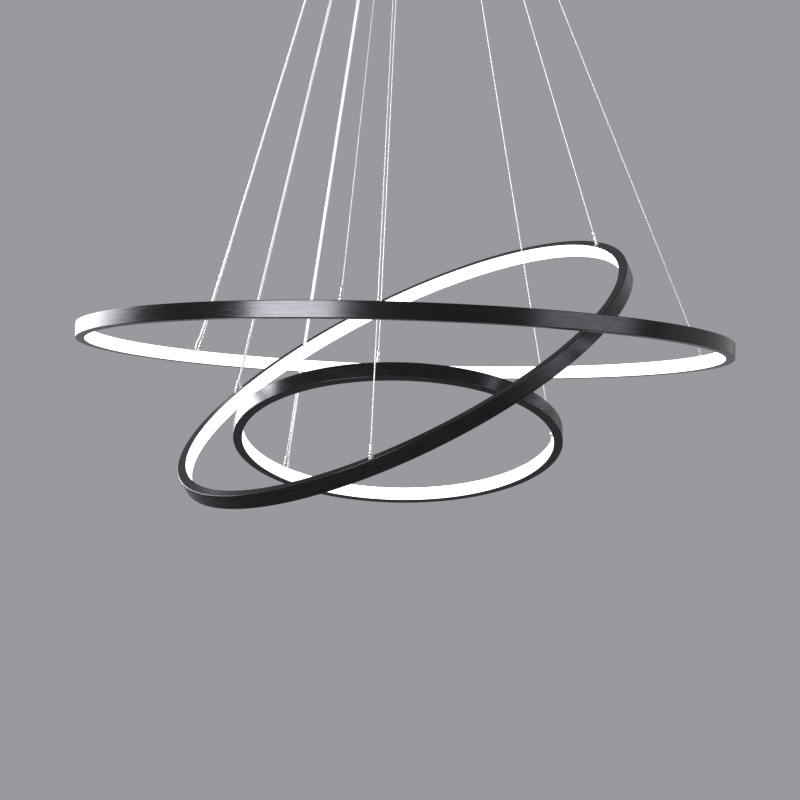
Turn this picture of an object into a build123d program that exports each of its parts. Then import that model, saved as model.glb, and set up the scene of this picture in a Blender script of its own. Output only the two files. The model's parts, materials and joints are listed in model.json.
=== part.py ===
from build123d import *
import os
from math import copysign, cos, degrees, pi, radians, sin, sqrt, tan

# LED ring chandelier: three rolled aluminium rings, lit on their inner faces, each hung on three
# steel wires from one round ceiling canopy.
# Millimetres, +Z up. The origin is the centre of the canopy's top, on the ceiling.

# --- driving dimensions: the rings ---
LARGE_RING_RADIUS = 400.0
MEDIUM_RING_RADIUS = 300.0
SMALL_RING_RADIUS = 200.0
PROFILE_DEPTH = 11.0  # radial
PROFILE_HEIGHT = 18.0
PROFILE_WALL = 1.6  # outer wall
PROFILE_WEB = 1.4  # top and bottom webs
PROFILE_LIP = 0.5  # what is left of a web beside the diffuser
EDGE_CHAMFER = 0.8  # outer edges of the profile
SEAM_GAP = 0.4  # between the two ends of the rolled profile
DIFFUSER_THICKNESS = 1.6
DIFFUSER_CLEARANCE = 0.05
TAPE_THICKNESS = 0.3
TAPE_WIDTH = 10.0
TAPE_SEAM_GAP = 6.0
CHIP_SIZE = 5.0
CHIP_HEIGHT = 1.0
CHIP_PITCH = 33.3
SOLDER_GAP = 0.02
SPLICE_LENGTH = 50.0
SPLICE_DEPTH = 5.0
SPLICE_THICKNESS = 1.8
SPLICE_SCREW_OFFSET = 14.0  # along the ring, from the seam
SPLICE_SCREW_RADIUS = 1.25
SPLICE_HEAD_RADIUS = 2.2
SPLICE_INSET = 0.7  # between the bar and the channel's outer wall
SEAM_TO_WIRE = 46.0  # along the ring, from the left wire clockwise to the seam, seen from above

# --- driving dimensions: how the rings hang ---
LARGE_RING_DROP = 785.4  # ceiling to the ring's centre
MEDIUM_RING_DROP = 809.2
SMALL_RING_DROP = 898.3
LARGE_RING_PLACE = (-12.4, 8.2)  # centre, seen from above
MEDIUM_RING_PLACE = (-17.8, -17.4)
SMALL_RING_PLACE = (-21.1, -18.6)
LARGE_RING_TILT = 3.8  # degrees from level
MEDIUM_RING_TILT = 31.6
SMALL_RING_TILT = 24.0
LARGE_HIGH_SIDE = 239.6  # azimuth of the side that hangs highest
MEDIUM_HIGH_SIDE = 35.3
SMALL_HIGH_SIDE = 267.5
LARGE_ANCHORS = (14.0, 136.9, 260.4)  # azimuths of the right, left and front wires on the ring
MEDIUM_ANCHORS = (15.8, 139.6, 259.7)
SMALL_ANCHORS = (9.6, 138.8, 263.3)
WIRE_NAMES = ("right", "left", "front")
WIRE_RADIUS = 0.6
WIRE_END_GAP = 0.3  # between a wire and the ferrule, which turns with its ring
LEAD_RADIUS = 1.3
LARGE_LEAD_PLACE = -6.5  # along the ring, from the left wire clockwise to the lead
MEDIUM_LEAD_PLACE = 10.0
SMALL_LEAD_PLACE = 6.5
LEAD_CLEARANCE = 0.05
LEAD_GAP = 0.3  # between a lead and the wire that it runs down
LEAD_JOIN = 70.0  # below the knee, where a lead reaches its wire
LEAD_PART = 8.0  # above the ferrule, where a lead leaves its wire
LEAD_FALL = 18.0  # straight below the canopy
LEAD_RISE = 10.0  # straight above the grommet

# --- driving dimensions: wire ends on the rings ---
BUSH_FLANGE_RADIUS = 3.2
BUSH_FLANGE = 0.8
BUSH_SLEEVE_RADIUS = 2.0
BUSH_NUT_RADIUS = 2.9
BUSH_NUT = 1.5
BUSH_BORE_RADIUS = 0.9
BUSH_SEAT_DEPTH = 0.48  # how far the ferrule's ball sinks into the flange
BUSH_EDGE = 0.25  # chamfer on the flange
FERRULE_RADIUS = 1.5
FERRULE_LENGTH = 12.0
FERRULE_BALL_RADIUS = 1.8
FERRULE_STEM_RADIUS = 0.7
SEAT_CLEARANCE = 0.05
GROMMET_FLANGE_RADIUS = 3.0
GROMMET_FLANGE = 0.9
GROMMET_SLEEVE_RADIUS = 2.1

# --- driving dimensions: the canopy and what is in it ---
CANOPY_RADIUS = 120.0
CANOPY_HEIGHT = 50.0
CANOPY_WALL = 1.2
CANOPY_EDGE_RADIUS = 6.0
SIDE_SCREW_RADIUS = 2.0
SIDE_SCREW_DROP = 11.0  # ceiling to the screw
SIDE_SCREW_HEAD_RADIUS = 4.0
SIDE_SCREW_HEAD = 5.0
SIDE_SCREW_CLEARANCE = 0.3
BRACKET_THICKNESS = 2.0
BRACKET_WIDTH = 34.0
BRACKET_TAB_HEIGHT = 18.0
BRACKET_TAB_WIDTH = 20.0
BRACKET_TAB_GAP = 0.4
TONGUE_MARGIN = 4.5  # beyond each ear of the driver
CEILING_SLOT_SPACING = 90.0
CEILING_SLOT_LENGTH = 24.0
CEILING_SLOT_WIDTH = 5.0
SUPPLY_BORE_RADIUS = 10.0
DRIVER_SETBACK = 45.0  # its ends, from the canopy's outer wall
DRIVER_WIDTH = 40.0
DRIVER_HEIGHT = 23.0
DRIVER_PLACE_Y = -42.0
DRIVER_EAR = 9.0
DRIVER_EAR_THICKNESS = 2.5
DRIVER_SCREW_RADIUS = 1.5
DRIVER_SCREW_HEAD_RADIUS = 2.8
DRIVER_SCREW_HEAD = 1.8
TERMINAL_SETBACK = 32.0  # its middle, from the bracket's end
TERMINAL_LENGTH = 24.0
TERMINAL_WIDTH = 18.0
TERMINAL_HEIGHT = 15.0
TERMINAL_EDGE = 1.0  # chamfer
TERMINAL_ENTRIES = 2
TERMINAL_ENTRY_DROP = 9.0  # bracket to the cores' entries
CABLE_ENTRY = 4.0  # how far a core enters its terminal
CABLE_CORE_RADIUS = 1.1
CABLE_PITCH = 8.0  # between cores side by side on the driver's end
CABLE_DROP = 13.8  # bracket to the cores' level along the driver
CABLE_RUN_OUT = 10.0  # straight out of the driver's end
CABLE_STEP = 5.0  # between the bends of neighbouring cores
CABLE_TURN_X = 14.0  # beyond the driver's end, where the cores turn towards the connectors
CABLE_TURN_Y = -8.0
CABLE_TURN_STEP = 2.0

# --- driving dimensions: the wire grippers ---
SPOKE_AZIMUTHS = (17.0, 137.0, 257.0)  # of the right, left and front grippers
LARGE_GRIPPER_PLACE = 69.0  # from the canopy's axis
MEDIUM_GRIPPER_PLACE = 52.5
SMALL_GRIPPER_PLACE = 38.0
GRIPPER_RADIUS = 5.5
GRIPPER_LENGTH = 13.0
GRIPPER_CHAMFER = 0.8
STUD_RADIUS = 4.0
STUD_LENGTH = 7.0  # above the canopy's floor
STUD_CLEARANCE = 0.1
NUT_ACROSS_FLATS = 12.0
NUT_THICKNESS = 4.0
WIRE_BORE_RADIUS = 0.9
SOCKET_RADIUS = 3.2
SOCKET_DEPTH = 8.0
SOCKET_LIP = 1.2  # holds the nipple's head in its socket
NIPPLE_RADIUS = 2.6
NIPPLE_CLEARANCE = 0.08
NIPPLE_TRAVEL = 2.5
NIPPLE_STOP_GAP = 0.1
NIPPLE_PROUD = 4.5
WIRE_TAIL = 4.0  # above a gripper's stud
KNEE_DROP = 3.0  # below a nipple, where the wire turns towards its ring
KNEE_RADIUS = 8.0
KNEE_ALLOWANCE = 15.0  # half of the steepest turn that the arc has room for, in degrees
KNEE_STRAIGHT = 2.0
GLAND_OFFSET = 12.0  # from the left gripper to the gland, on the side where the lead enters its ring
GLAND_FLANGE_RADIUS = 3.8
GLAND_FLANGE = 2.0
GLAND_SLEEVE_RADIUS = 3.0
GLAND_NUT_RADIUS = 4.4
GLAND_NUT = 2.5
CONNECTOR_LENGTH = 12.0
CONNECTOR_WIDTH = 8.0
CONNECTOR_HEIGHT = 9.0
CONNECTOR_ENTRY = 5.0
CONNECTOR_EDGE = 0.8  # chamfer

# --- derived sizes ---
HALF_HEIGHT = PROFILE_HEIGHT / 2
CAVITY_HALF = HALF_HEIGHT - PROFILE_WEB
REBATE_HALF = HALF_HEIGHT - PROFILE_LIP
CANOPY_FLOOR = CANOPY_WALL - CANOPY_HEIGHT  # its inner face
CANOPY_BORE = CANOPY_RADIUS - CANOPY_WALL
GRIPPER_BOTTOM = -CANOPY_HEIGHT - GRIPPER_LENGTH
NIPPLE_BOTTOM = GRIPPER_BOTTOM - NIPPLE_PROUD
NIPPLE_SHOULDER = GRIPPER_BOTTOM + SOCKET_LIP + NIPPLE_CLEARANCE
NIPPLE_TOP = GRIPPER_BOTTOM + SOCKET_DEPTH - NIPPLE_TRAVEL - NIPPLE_STOP_GAP
STUD_TOP = CANOPY_FLOOR + STUD_LENGTH
KNEE_Z = NIPPLE_BOTTOM - KNEE_DROP
TAB_REACH = sqrt(CANOPY_BORE**2 - (BRACKET_TAB_WIDTH / 2) ** 2) - BRACKET_TAB_GAP
TERMINAL_PLACE_X = TAB_REACH - TERMINAL_SETBACK
DRIVER_LENGTH = 2 * (CANOPY_RADIUS - DRIVER_SETBACK)
DRIVER_SCREW_X = DRIVER_LENGTH / 2 + DRIVER_EAR / 2
CORE_HOLE_RADIUS = CABLE_CORE_RADIUS + LEAD_CLEARANCE
BALL_CENTRE = BUSH_FLANGE + FERRULE_BALL_RADIUS - BUSH_SEAT_DEPTH  # above the ring's top
KNEE_REACH = KNEE_RADIUS * tan(radians(KNEE_ALLOWANCE)) + KNEE_STRAIGHT
LEAD_SIDE = WIRE_NAMES.index("left")
ARC_SHARE = 0.45  # of the shorter run beside a corner

parts = {}


def add(node, *solids):
    """Keep the solids of one node."""
    parts[node] = list(solids)


def polar(radius, azimuth, z=0.0):
    """A point given by its distance from the Z axis, its azimuth in degrees and its height."""
    return Vector(radius * cos(radians(azimuth)), radius * sin(radians(azimuth)), z)


def section(points):
    """A face in the XZ plane through (radius, z) points, to be turned about the Z axis."""
    return make_face(Polyline([(r, 0, z) for r, z in points], close=True))


def turned(points, arc=360.0):
    """A solid of revolution about the Z axis."""
    return revolve(section(points), axis=Axis.Z, revolution_arc=arc)


def rod(start, end, radius):
    """A round bar from one point to another."""
    run = end - start
    return extrude(Plane(origin=start, z_dir=run) * Circle(radius), amount=run.length)


def tube_along(path, radius):
    """A round cord along a path of straight runs and tangent arcs."""
    return sweep(Plane(origin=path @ 0, z_dir=path % 0) * Circle(radius), path=path)


class Ring:
    """One hanging ring: its size, how it hangs and where its wires hold it."""

    def __init__(self, name, radius, place, drop, tilt, high_side, anchors, gripper_place, lead_place):
        self.name = name
        self.radius = radius
        self.anchors = anchors
        self.gripper_place = gripper_place
        turn = Rot(0, 0, high_side) * Rot(0, -tilt, 0) * Rot(0, 0, -high_side)
        self.location = Pos(place[0], place[1], -drop) * turn
        self.middle = radius - PROFILE_DEPTH / 2
        self.lead_azimuth = anchors[LEAD_SIDE] - degrees(lead_place / self.middle)
        self.seam_azimuth = anchors[LEAD_SIDE] - degrees(SEAM_TO_WIRE / self.middle)
        self.gland_offset = copysign(GLAND_OFFSET, lead_place)

    def hung(self, solid):
        """A solid of the ring's own frame, moved to where the ring hangs."""
        return self.location * solid

    def point(self, radius, azimuth, z):
        """A point of the ring's own frame, where the ring hangs."""
        return (self.location * Pos(*polar(radius, azimuth, z))).position

    def gripper(self, index):
        """Foot of a gripper's axis on the ceiling."""
        return polar(self.gripper_place, SPOKE_AZIMUTHS[index])

    def wire(self, index):
        """The knee under a gripper, the wire's straight ends and its anchor, from the top down."""
        foot = self.gripper(index)
        knee = Vector(foot.X, foot.Y, KNEE_Z)
        anchor = self.point(self.middle, self.anchors[index], HALF_HEIGHT + BALL_CENTRE)
        along = (anchor - knee).normalized()
        start = knee + along * KNEE_REACH
        end = anchor - along * (FERRULE_LENGTH + FERRULE_BALL_RADIUS)
        return knee, start, end, anchor


RINGS = (
    Ring("large", LARGE_RING_RADIUS, LARGE_RING_PLACE, LARGE_RING_DROP, LARGE_RING_TILT,
         LARGE_HIGH_SIDE, LARGE_ANCHORS, LARGE_GRIPPER_PLACE, LARGE_LEAD_PLACE),
    Ring("medium", MEDIUM_RING_RADIUS, MEDIUM_RING_PLACE, MEDIUM_RING_DROP, MEDIUM_RING_TILT,
         MEDIUM_HIGH_SIDE, MEDIUM_ANCHORS, MEDIUM_GRIPPER_PLACE, MEDIUM_LEAD_PLACE),
    Ring("small", SMALL_RING_RADIUS, SMALL_RING_PLACE, SMALL_RING_DROP, SMALL_RING_TILT,
         SMALL_HIGH_SIDE, SMALL_ANCHORS, SMALL_GRIPPER_PLACE, SMALL_LEAD_PLACE),
)


# --- the rings ---

def channel(ring):
    """The rolled channel, open inwards, with its seam and its holes for bushes, grommet and screws."""
    outer = ring.radius
    inner = outer - PROFILE_DEPTH
    rebate = inner + DIFFUSER_THICKNESS + DIFFUSER_CLEARANCE
    wall = outer - PROFILE_WALL
    upper = [
        (wall, CAVITY_HALF),
        (rebate, CAVITY_HALF),
        (rebate, REBATE_HALF),
        (inner, REBATE_HALF),
        (inner, HALF_HEIGHT),
        (outer - EDGE_CHAMFER, HALF_HEIGHT),
        (outer, HALF_HEIGHT - EDGE_CHAMFER),
    ]
    lower = [(r, -z) for r, z in reversed(upper)]
    gap = degrees(SEAM_GAP / outer)
    body = turned(upper + lower, 360 - gap)
    body = Rot(0, 0, ring.seam_azimuth + gap / 2) * body
    web_middle = HALF_HEIGHT - PROFILE_WEB / 2
    hole = Cylinder(BUSH_SLEEVE_RADIUS, 2 * PROFILE_WEB)
    for azimuth in ring.anchors:
        body -= Pos(*polar(ring.middle, azimuth, web_middle)) * hole
    grommet_hole = Cylinder(GROMMET_SLEEVE_RADIUS, 2 * PROFILE_WEB)
    body -= Pos(*polar(ring.middle, ring.lead_azimuth, web_middle)) * grommet_hole
    for place in splice_screw_places(ring):
        body -= place * splice_screw()
    return body


def diffuser(ring):
    """The opal strip that closes the channel, flush with its lips."""
    inner = ring.radius - PROFILE_DEPTH
    edge = REBATE_HALF - DIFFUSER_CLEARANCE
    outer = inner + DIFFUSER_THICKNESS
    return turned([(inner, -edge), (outer, -edge), (outer, edge), (inner, edge)])


def led_tape(ring):
    """The flexible circuit on the channel's back wall."""
    outer = ring.radius - PROFILE_WALL
    inner = outer - TAPE_THICKNESS
    half = TAPE_WIDTH / 2
    gap = degrees(TAPE_SEAM_GAP / outer)
    tape = turned([(inner, -half), (outer, -half), (outer, half), (inner, half)], 360 - gap)
    return Rot(0, 0, ring.seam_azimuth + gap / 2) * tape


def led_chips(ring):
    """The light emitting chips along the tape, evenly spaced, with none at the seam."""
    back = ring.radius - PROFILE_WALL - TAPE_THICKNESS - SOLDER_GAP
    face = sqrt(back**2 - (CHIP_SIZE / 2) ** 2)
    count = int(2 * pi * back / CHIP_PITCH)
    chip = Pos(face - CHIP_HEIGHT / 2, 0, 0) * Box(CHIP_HEIGHT, CHIP_SIZE, CHIP_SIZE)
    step = 360 / count
    return [Rot(0, 0, ring.seam_azimuth + (i + 0.5) * step) * chip for i in range(count)]


def splice_bar(ring):
    """The curved bar under the top web that joins the two ends of the channel."""
    outer = ring.radius - PROFILE_WALL - SPLICE_INSET
    inner = outer - SPLICE_DEPTH
    arc = degrees(SPLICE_LENGTH / outer)
    low = CAVITY_HALF - SPLICE_THICKNESS
    bar = turned([(inner, low), (outer, low), (outer, CAVITY_HALF), (inner, CAVITY_HALF)], arc)
    bar = Rot(0, 0, ring.seam_azimuth - arc / 2) * bar
    for place in splice_screw_places(ring):
        bar -= place * splice_screw()
    return bar


def splice_screw():
    """A countersunk screw whose flat head is level with its frame's origin, pointing down."""
    taper = SPLICE_HEAD_RADIUS - SPLICE_SCREW_RADIUS
    length = PROFILE_WEB + SPLICE_THICKNESS
    return turned([
        (0, 0),
        (SPLICE_HEAD_RADIUS, 0),
        (SPLICE_SCREW_RADIUS, -taper),
        (SPLICE_SCREW_RADIUS, -length),
        (0, -length),
    ])


def splice_screw_places(ring):
    """The two splice screws stand in the top web, one on each side of the seam."""
    radius = ring.radius - PROFILE_WALL - SPLICE_INSET - SPLICE_DEPTH / 2
    spread = degrees(SPLICE_SCREW_OFFSET / radius)
    azimuths = (ring.seam_azimuth - spread, ring.seam_azimuth + spread)
    return [Pos(*polar(radius, azimuth, HALF_HEIGHT)) for azimuth in azimuths]


def anchor_bush(ring, azimuth):
    """A riveted bush in the top web, with a round seat for the ferrule's ball."""
    low = CAVITY_HALF - BUSH_NUT
    top = HALF_HEIGHT + BUSH_FLANGE
    bush = turned([
        (BUSH_BORE_RADIUS, low),
        (BUSH_NUT_RADIUS, low),
        (BUSH_NUT_RADIUS, CAVITY_HALF),
        (BUSH_SLEEVE_RADIUS, CAVITY_HALF),
        (BUSH_SLEEVE_RADIUS, HALF_HEIGHT),
        (BUSH_FLANGE_RADIUS, HALF_HEIGHT),
        (BUSH_FLANGE_RADIUS, top - BUSH_EDGE),
        (BUSH_FLANGE_RADIUS - BUSH_EDGE, top),
        (BUSH_BORE_RADIUS, top),
    ])
    bush -= Pos(0, 0, HALF_HEIGHT + BALL_CENTRE) * Sphere(FERRULE_BALL_RADIUS + SEAT_CLEARANCE)
    return Pos(*polar(ring.middle, azimuth)) * bush


def ferrule(ring, index):
    """The crimped end of a wire: a leaning barrel, a ball in the seat and a stem with its stop."""
    _, _, end, anchor = ring.wire(index)
    barrel = rod(end, anchor, FERRULE_RADIUS)
    ball = ring.hung(Pos(*polar(ring.middle, ring.anchors[index], HALF_HEIGHT + BALL_CENTRE))
                     * Sphere(FERRULE_BALL_RADIUS))
    stop_z = CAVITY_HALF - BUSH_NUT - FERRULE_BALL_RADIUS
    stop = ring.point(ring.middle, ring.anchors[index], stop_z)
    stem = rod(anchor, stop, FERRULE_STEM_RADIUS)
    knob = ring.hung(Pos(*polar(ring.middle, ring.anchors[index], stop_z))
                     * Sphere(FERRULE_BALL_RADIUS))
    return barrel + ball + stem + knob


def lead_grommet(ring):
    """The rubber grommet through which the power lead enters the channel."""
    bore = LEAD_RADIUS + LEAD_CLEARANCE
    grommet = turned([
        (bore, CAVITY_HALF - GROMMET_FLANGE),
        (GROMMET_FLANGE_RADIUS, CAVITY_HALF - GROMMET_FLANGE),
        (GROMMET_FLANGE_RADIUS, CAVITY_HALF),
        (GROMMET_SLEEVE_RADIUS, CAVITY_HALF),
        (GROMMET_SLEEVE_RADIUS, HALF_HEIGHT),
        (GROMMET_FLANGE_RADIUS, HALF_HEIGHT),
        (bore, HALF_HEIGHT + GROMMET_FLANGE),
    ])
    return Pos(*polar(ring.middle, ring.lead_azimuth)) * grommet


for ring in RINGS:
    add(f"{ring.name}_channel", ring.hung(channel(ring)))
    add(f"{ring.name}_diffuser", ring.hung(diffuser(ring)))
    add(f"{ring.name}_led_tape", ring.hung(led_tape(ring)))
    add(f"{ring.name}_led_chips", *[ring.hung(chip) for chip in led_chips(ring)])
    add(f"{ring.name}_splice_bar", ring.hung(splice_bar(ring)))
    screws = [place * splice_screw() for place in splice_screw_places(ring)]
    add(f"{ring.name}_splice_screws", *[ring.hung(screw) for screw in screws])
    add(f"{ring.name}_anchor_bushes", *[ring.hung(anchor_bush(ring, a)) for a in ring.anchors])
    add(f"{ring.name}_ferrules", *[ferrule(ring, i) for i in range(len(ring.anchors))])
    add(f"{ring.name}_lead_grommet", ring.hung(lead_grommet(ring)))


# --- the canopy ---

def gripper_feet():
    """The nine grippers' places, ring by ring."""
    return [ring.gripper(index) for ring in RINGS for index in range(len(ring.anchors))]


def canopy_lead_place(ring):
    """Where a ring's lead passes the canopy's floor: beside its left gripper."""
    beside = SPOKE_AZIMUTHS[LEAD_SIDE] - 90
    return ring.gripper(LEAD_SIDE) + polar(ring.gland_offset, beside)


def canopy_cover():
    """The drawn steel cup under the ceiling, with a rounded lower edge."""
    cup = Pos(0, 0, -CANOPY_HEIGHT / 2) * Cylinder(CANOPY_RADIUS, CANOPY_HEIGHT)
    cup = fillet(cup.edges().group_by(Axis.Z)[0], CANOPY_EDGE_RADIUS)
    hollow = Pos(0, 0, -CANOPY_HEIGHT / 2) * Cylinder(CANOPY_BORE, CANOPY_HEIGHT)
    hollow = fillet(hollow.edges().group_by(Axis.Z)[0], CANOPY_EDGE_RADIUS - CANOPY_WALL)
    cup -= Pos(0, 0, CANOPY_WALL) * hollow
    for foot in gripper_feet():
        hole = Cylinder(STUD_RADIUS + STUD_CLEARANCE, 4 * CANOPY_WALL)
        cup -= Pos(foot.X, foot.Y, -CANOPY_HEIGHT) * hole
    for ring in RINGS:
        place = canopy_lead_place(ring)
        hole = Cylinder(GLAND_SLEEVE_RADIUS + STUD_CLEARANCE, 4 * CANOPY_WALL)
        cup -= Pos(place.X, place.Y, -CANOPY_HEIGHT) * hole
    for side in (-1, 1):
        start = Vector(side * (CANOPY_BORE - CANOPY_WALL), 0, -SIDE_SCREW_DROP)
        end = Vector(side * (CANOPY_RADIUS + CANOPY_WALL), 0, -SIDE_SCREW_DROP)
        cup -= rod(start, end, SIDE_SCREW_RADIUS + SIDE_SCREW_CLEARANCE)
    return cup


def ceiling_bracket():
    """The stamped plate on the ceiling: a strip with turned-down ends and a tongue for the driver."""
    thickness = BRACKET_THICKNESS
    strip = Box(2 * TAB_REACH, BRACKET_WIDTH, thickness)
    tongue_length = DRIVER_LENGTH + 2 * DRIVER_EAR + 2 * TONGUE_MARGIN
    tongue_width = DRIVER_WIDTH / 2 - DRIVER_PLACE_Y - BRACKET_WIDTH / 2
    tongue = Box(tongue_length, tongue_width, thickness)
    plate = strip + Pos(0, -(BRACKET_WIDTH + tongue_width) / 2, 0) * tongue
    plate = Pos(0, 0, -thickness / 2) * plate
    plate &= Cylinder(CANOPY_BORE - BRACKET_TAB_GAP, 4 * thickness)
    for side in (-1, 1):
        tab = Box(thickness, BRACKET_TAB_WIDTH, BRACKET_TAB_HEIGHT)
        plate += Pos(side * (TAB_REACH - thickness / 2), 0, -BRACKET_TAB_HEIGHT / 2) * tab
        start = Vector(side * (TAB_REACH - 2 * thickness), 0, -SIDE_SCREW_DROP)
        end = Vector(side * CANOPY_RADIUS, 0, -SIDE_SCREW_DROP)
        plate -= rod(start, end, SIDE_SCREW_RADIUS)
        slot = SlotOverall(CEILING_SLOT_LENGTH, CEILING_SLOT_WIDTH)
        slot = extrude(Pos(side * CEILING_SLOT_SPACING / 2, 0, 0) * slot, thickness, both=True)
        plate -= slot
        start = Vector(side * DRIVER_SCREW_X, DRIVER_PLACE_Y, thickness)
        end = Vector(side * DRIVER_SCREW_X, DRIVER_PLACE_Y, -2 * thickness)
        plate -= rod(start, end, DRIVER_SCREW_RADIUS)
    plate -= Cylinder(SUPPLY_BORE_RADIUS, 4 * thickness)
    return plate


def side_screw(side):
    """A knurled thumbscrew through the canopy's wall into the bracket's tab."""
    tip = Vector(side * (TAB_REACH - 1.5 * BRACKET_THICKNESS), 0, -SIDE_SCREW_DROP)
    seat = Vector(side * CANOPY_RADIUS, 0, -SIDE_SCREW_DROP)
    end = Vector(side * (CANOPY_RADIUS + SIDE_SCREW_HEAD), 0, -SIDE_SCREW_DROP)
    return rod(tip, seat, SIDE_SCREW_RADIUS) + rod(seat, end, SIDE_SCREW_HEAD_RADIUS)


def led_driver():
    """The sealed power supply, hung by two ears under the bracket's tongue."""
    body = Box(DRIVER_LENGTH, DRIVER_WIDTH, DRIVER_HEIGHT)
    body = fillet(body.edges().filter_by(Axis.X), DRIVER_EAR_THICKNESS)
    body = Pos(0, DRIVER_PLACE_Y, -BRACKET_THICKNESS - DRIVER_HEIGHT / 2) * body
    ears = Box(DRIVER_LENGTH + 2 * DRIVER_EAR, DRIVER_WIDTH / 2, DRIVER_EAR_THICKNESS)
    body += Pos(0, DRIVER_PLACE_Y, -BRACKET_THICKNESS - DRIVER_EAR_THICKNESS / 2) * ears
    for side in (-1, 1):
        start = Vector(side * DRIVER_SCREW_X, DRIVER_PLACE_Y, 0)
        end = start - Vector(0, 0, BRACKET_THICKNESS + 2 * DRIVER_EAR_THICKNESS)
        body -= rod(start, end, DRIVER_SCREW_RADIUS)
    return body


def driver_screw(side):
    """A pan-head screw up through an ear of the driver into the bracket."""
    seat_z = -BRACKET_THICKNESS - DRIVER_EAR_THICKNESS
    seat = Vector(side * DRIVER_SCREW_X, DRIVER_PLACE_Y, seat_z)
    head = rod(seat, seat - Vector(0, 0, DRIVER_SCREW_HEAD), DRIVER_SCREW_HEAD_RADIUS)
    shank = rod(seat, Vector(seat.X, seat.Y, 0), DRIVER_SCREW_RADIUS)
    return head + shank


def terminal_block():
    """The block under the bracket where the supply cable is connected."""
    block = Box(TERMINAL_LENGTH, TERMINAL_WIDTH, TERMINAL_HEIGHT)
    block = chamfer(block.edges().filter_by(Axis.X), TERMINAL_EDGE)
    block = Pos(TERMINAL_PLACE_X, 0, -BRACKET_THICKNESS - TERMINAL_HEIGHT / 2) * block
    for index in range(TERMINAL_ENTRIES):
        entry = terminal_entry(index)
        block -= rod(entry - Vector(0, 1, 0), entry + Vector(0, CABLE_ENTRY, 0), CORE_HOLE_RADIUS)
    return block


def terminal_entry(index):
    """Where a driver core enters the terminal block, on its side towards the driver."""
    x = TERMINAL_PLACE_X + (index - 0.5) * TERMINAL_LENGTH / 2
    return Vector(x, -TERMINAL_WIDTH / 2, -BRACKET_THICKNESS - TERMINAL_ENTRY_DROP)


# --- the wire grippers and the lead glands ---

def gripper_body(foot):
    """A gripper's barrel under the canopy, its stud through the floor and its socket below."""
    body = turned([
        (WIRE_BORE_RADIUS, GRIPPER_BOTTOM + SOCKET_DEPTH),
        (SOCKET_RADIUS, GRIPPER_BOTTOM + SOCKET_DEPTH),
        (SOCKET_RADIUS, GRIPPER_BOTTOM + SOCKET_LIP),
        (NIPPLE_RADIUS + NIPPLE_CLEARANCE, GRIPPER_BOTTOM + SOCKET_LIP),
        (NIPPLE_RADIUS + NIPPLE_CLEARANCE, GRIPPER_BOTTOM),
        (GRIPPER_RADIUS - GRIPPER_CHAMFER, GRIPPER_BOTTOM),
        (GRIPPER_RADIUS, GRIPPER_BOTTOM + GRIPPER_CHAMFER),
        (GRIPPER_RADIUS, -CANOPY_HEIGHT),
        (STUD_RADIUS, -CANOPY_HEIGHT),
        (STUD_RADIUS, STUD_TOP),
        (WIRE_BORE_RADIUS, STUD_TOP),
    ])
    return Pos(foot.X, foot.Y, 0) * body


def gripper_nut(foot):
    """The hexagon nut that clamps a gripper to the canopy's floor."""
    nut = extrude(RegularPolygon(NUT_ACROSS_FLATS / 2, 6, major_radius=False), NUT_THICKNESS)
    nut -= Cylinder(STUD_RADIUS, 4 * NUT_THICKNESS)
    return Pos(foot.X, foot.Y, CANOPY_FLOOR) * nut


def release_nipple(foot):
    """The sprung nipple under a gripper: pushed up, it lets the wire slide."""
    head = SOCKET_RADIUS - NIPPLE_CLEARANCE
    nipple = turned([
        (WIRE_BORE_RADIUS, NIPPLE_BOTTOM),
        (NIPPLE_RADIUS - GRIPPER_CHAMFER, NIPPLE_BOTTOM),
        (NIPPLE_RADIUS, NIPPLE_BOTTOM + GRIPPER_CHAMFER),
        (NIPPLE_RADIUS, NIPPLE_SHOULDER),
        (head, NIPPLE_SHOULDER),
        (head, NIPPLE_TOP),
        (WIRE_BORE_RADIUS, NIPPLE_TOP),
    ])
    return Pos(foot.X, foot.Y, 0) * nipple


def wire_tail(ring, index):
    """The wire inside its gripper and round the knee under the nipple."""
    knee, start, _, _ = ring.wire(index)
    top = Vector(knee.X, knee.Y, STUD_TOP + WIRE_TAIL)
    return tube_along(FilletPolyline(top, knee, start, radius=KNEE_RADIUS), WIRE_RADIUS)


def free_wire(ring, index):
    """The taut stretch of wire from the knee to just short of the ferrule."""
    _, start, end, _ = ring.wire(index)
    stop = end - (end - start).normalized() * WIRE_END_GAP
    return rod(start, stop, WIRE_RADIUS)


def lead_gland(ring):
    """The threaded gland through which a ring's power lead leaves the canopy."""
    bore = LEAD_RADIUS + LEAD_CLEARANCE
    place = canopy_lead_place(ring)
    gland = turned([
        (bore, -CANOPY_HEIGHT - GLAND_FLANGE),
        (GLAND_FLANGE_RADIUS - GLAND_FLANGE / 2, -CANOPY_HEIGHT - GLAND_FLANGE),
        (GLAND_FLANGE_RADIUS, -CANOPY_HEIGHT),
        (GLAND_SLEEVE_RADIUS, -CANOPY_HEIGHT),
        (GLAND_SLEEVE_RADIUS, CANOPY_FLOOR),
        (GLAND_NUT_RADIUS, CANOPY_FLOOR),
        (GLAND_NUT_RADIUS, CANOPY_FLOOR + GLAND_NUT),
        (bore, CANOPY_FLOOR + GLAND_NUT),
    ])
    return Pos(place.X, place.Y, 0) * gland


def connector_frame(ring):
    """Foot of a connector that stands on the gland's nut, turned along the spoke."""
    place = canopy_lead_place(ring)
    return Pos(place.X, place.Y, CANOPY_FLOOR + GLAND_NUT) * Rot(0, 0, SPOKE_AZIMUTHS[LEAD_SIDE])


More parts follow.
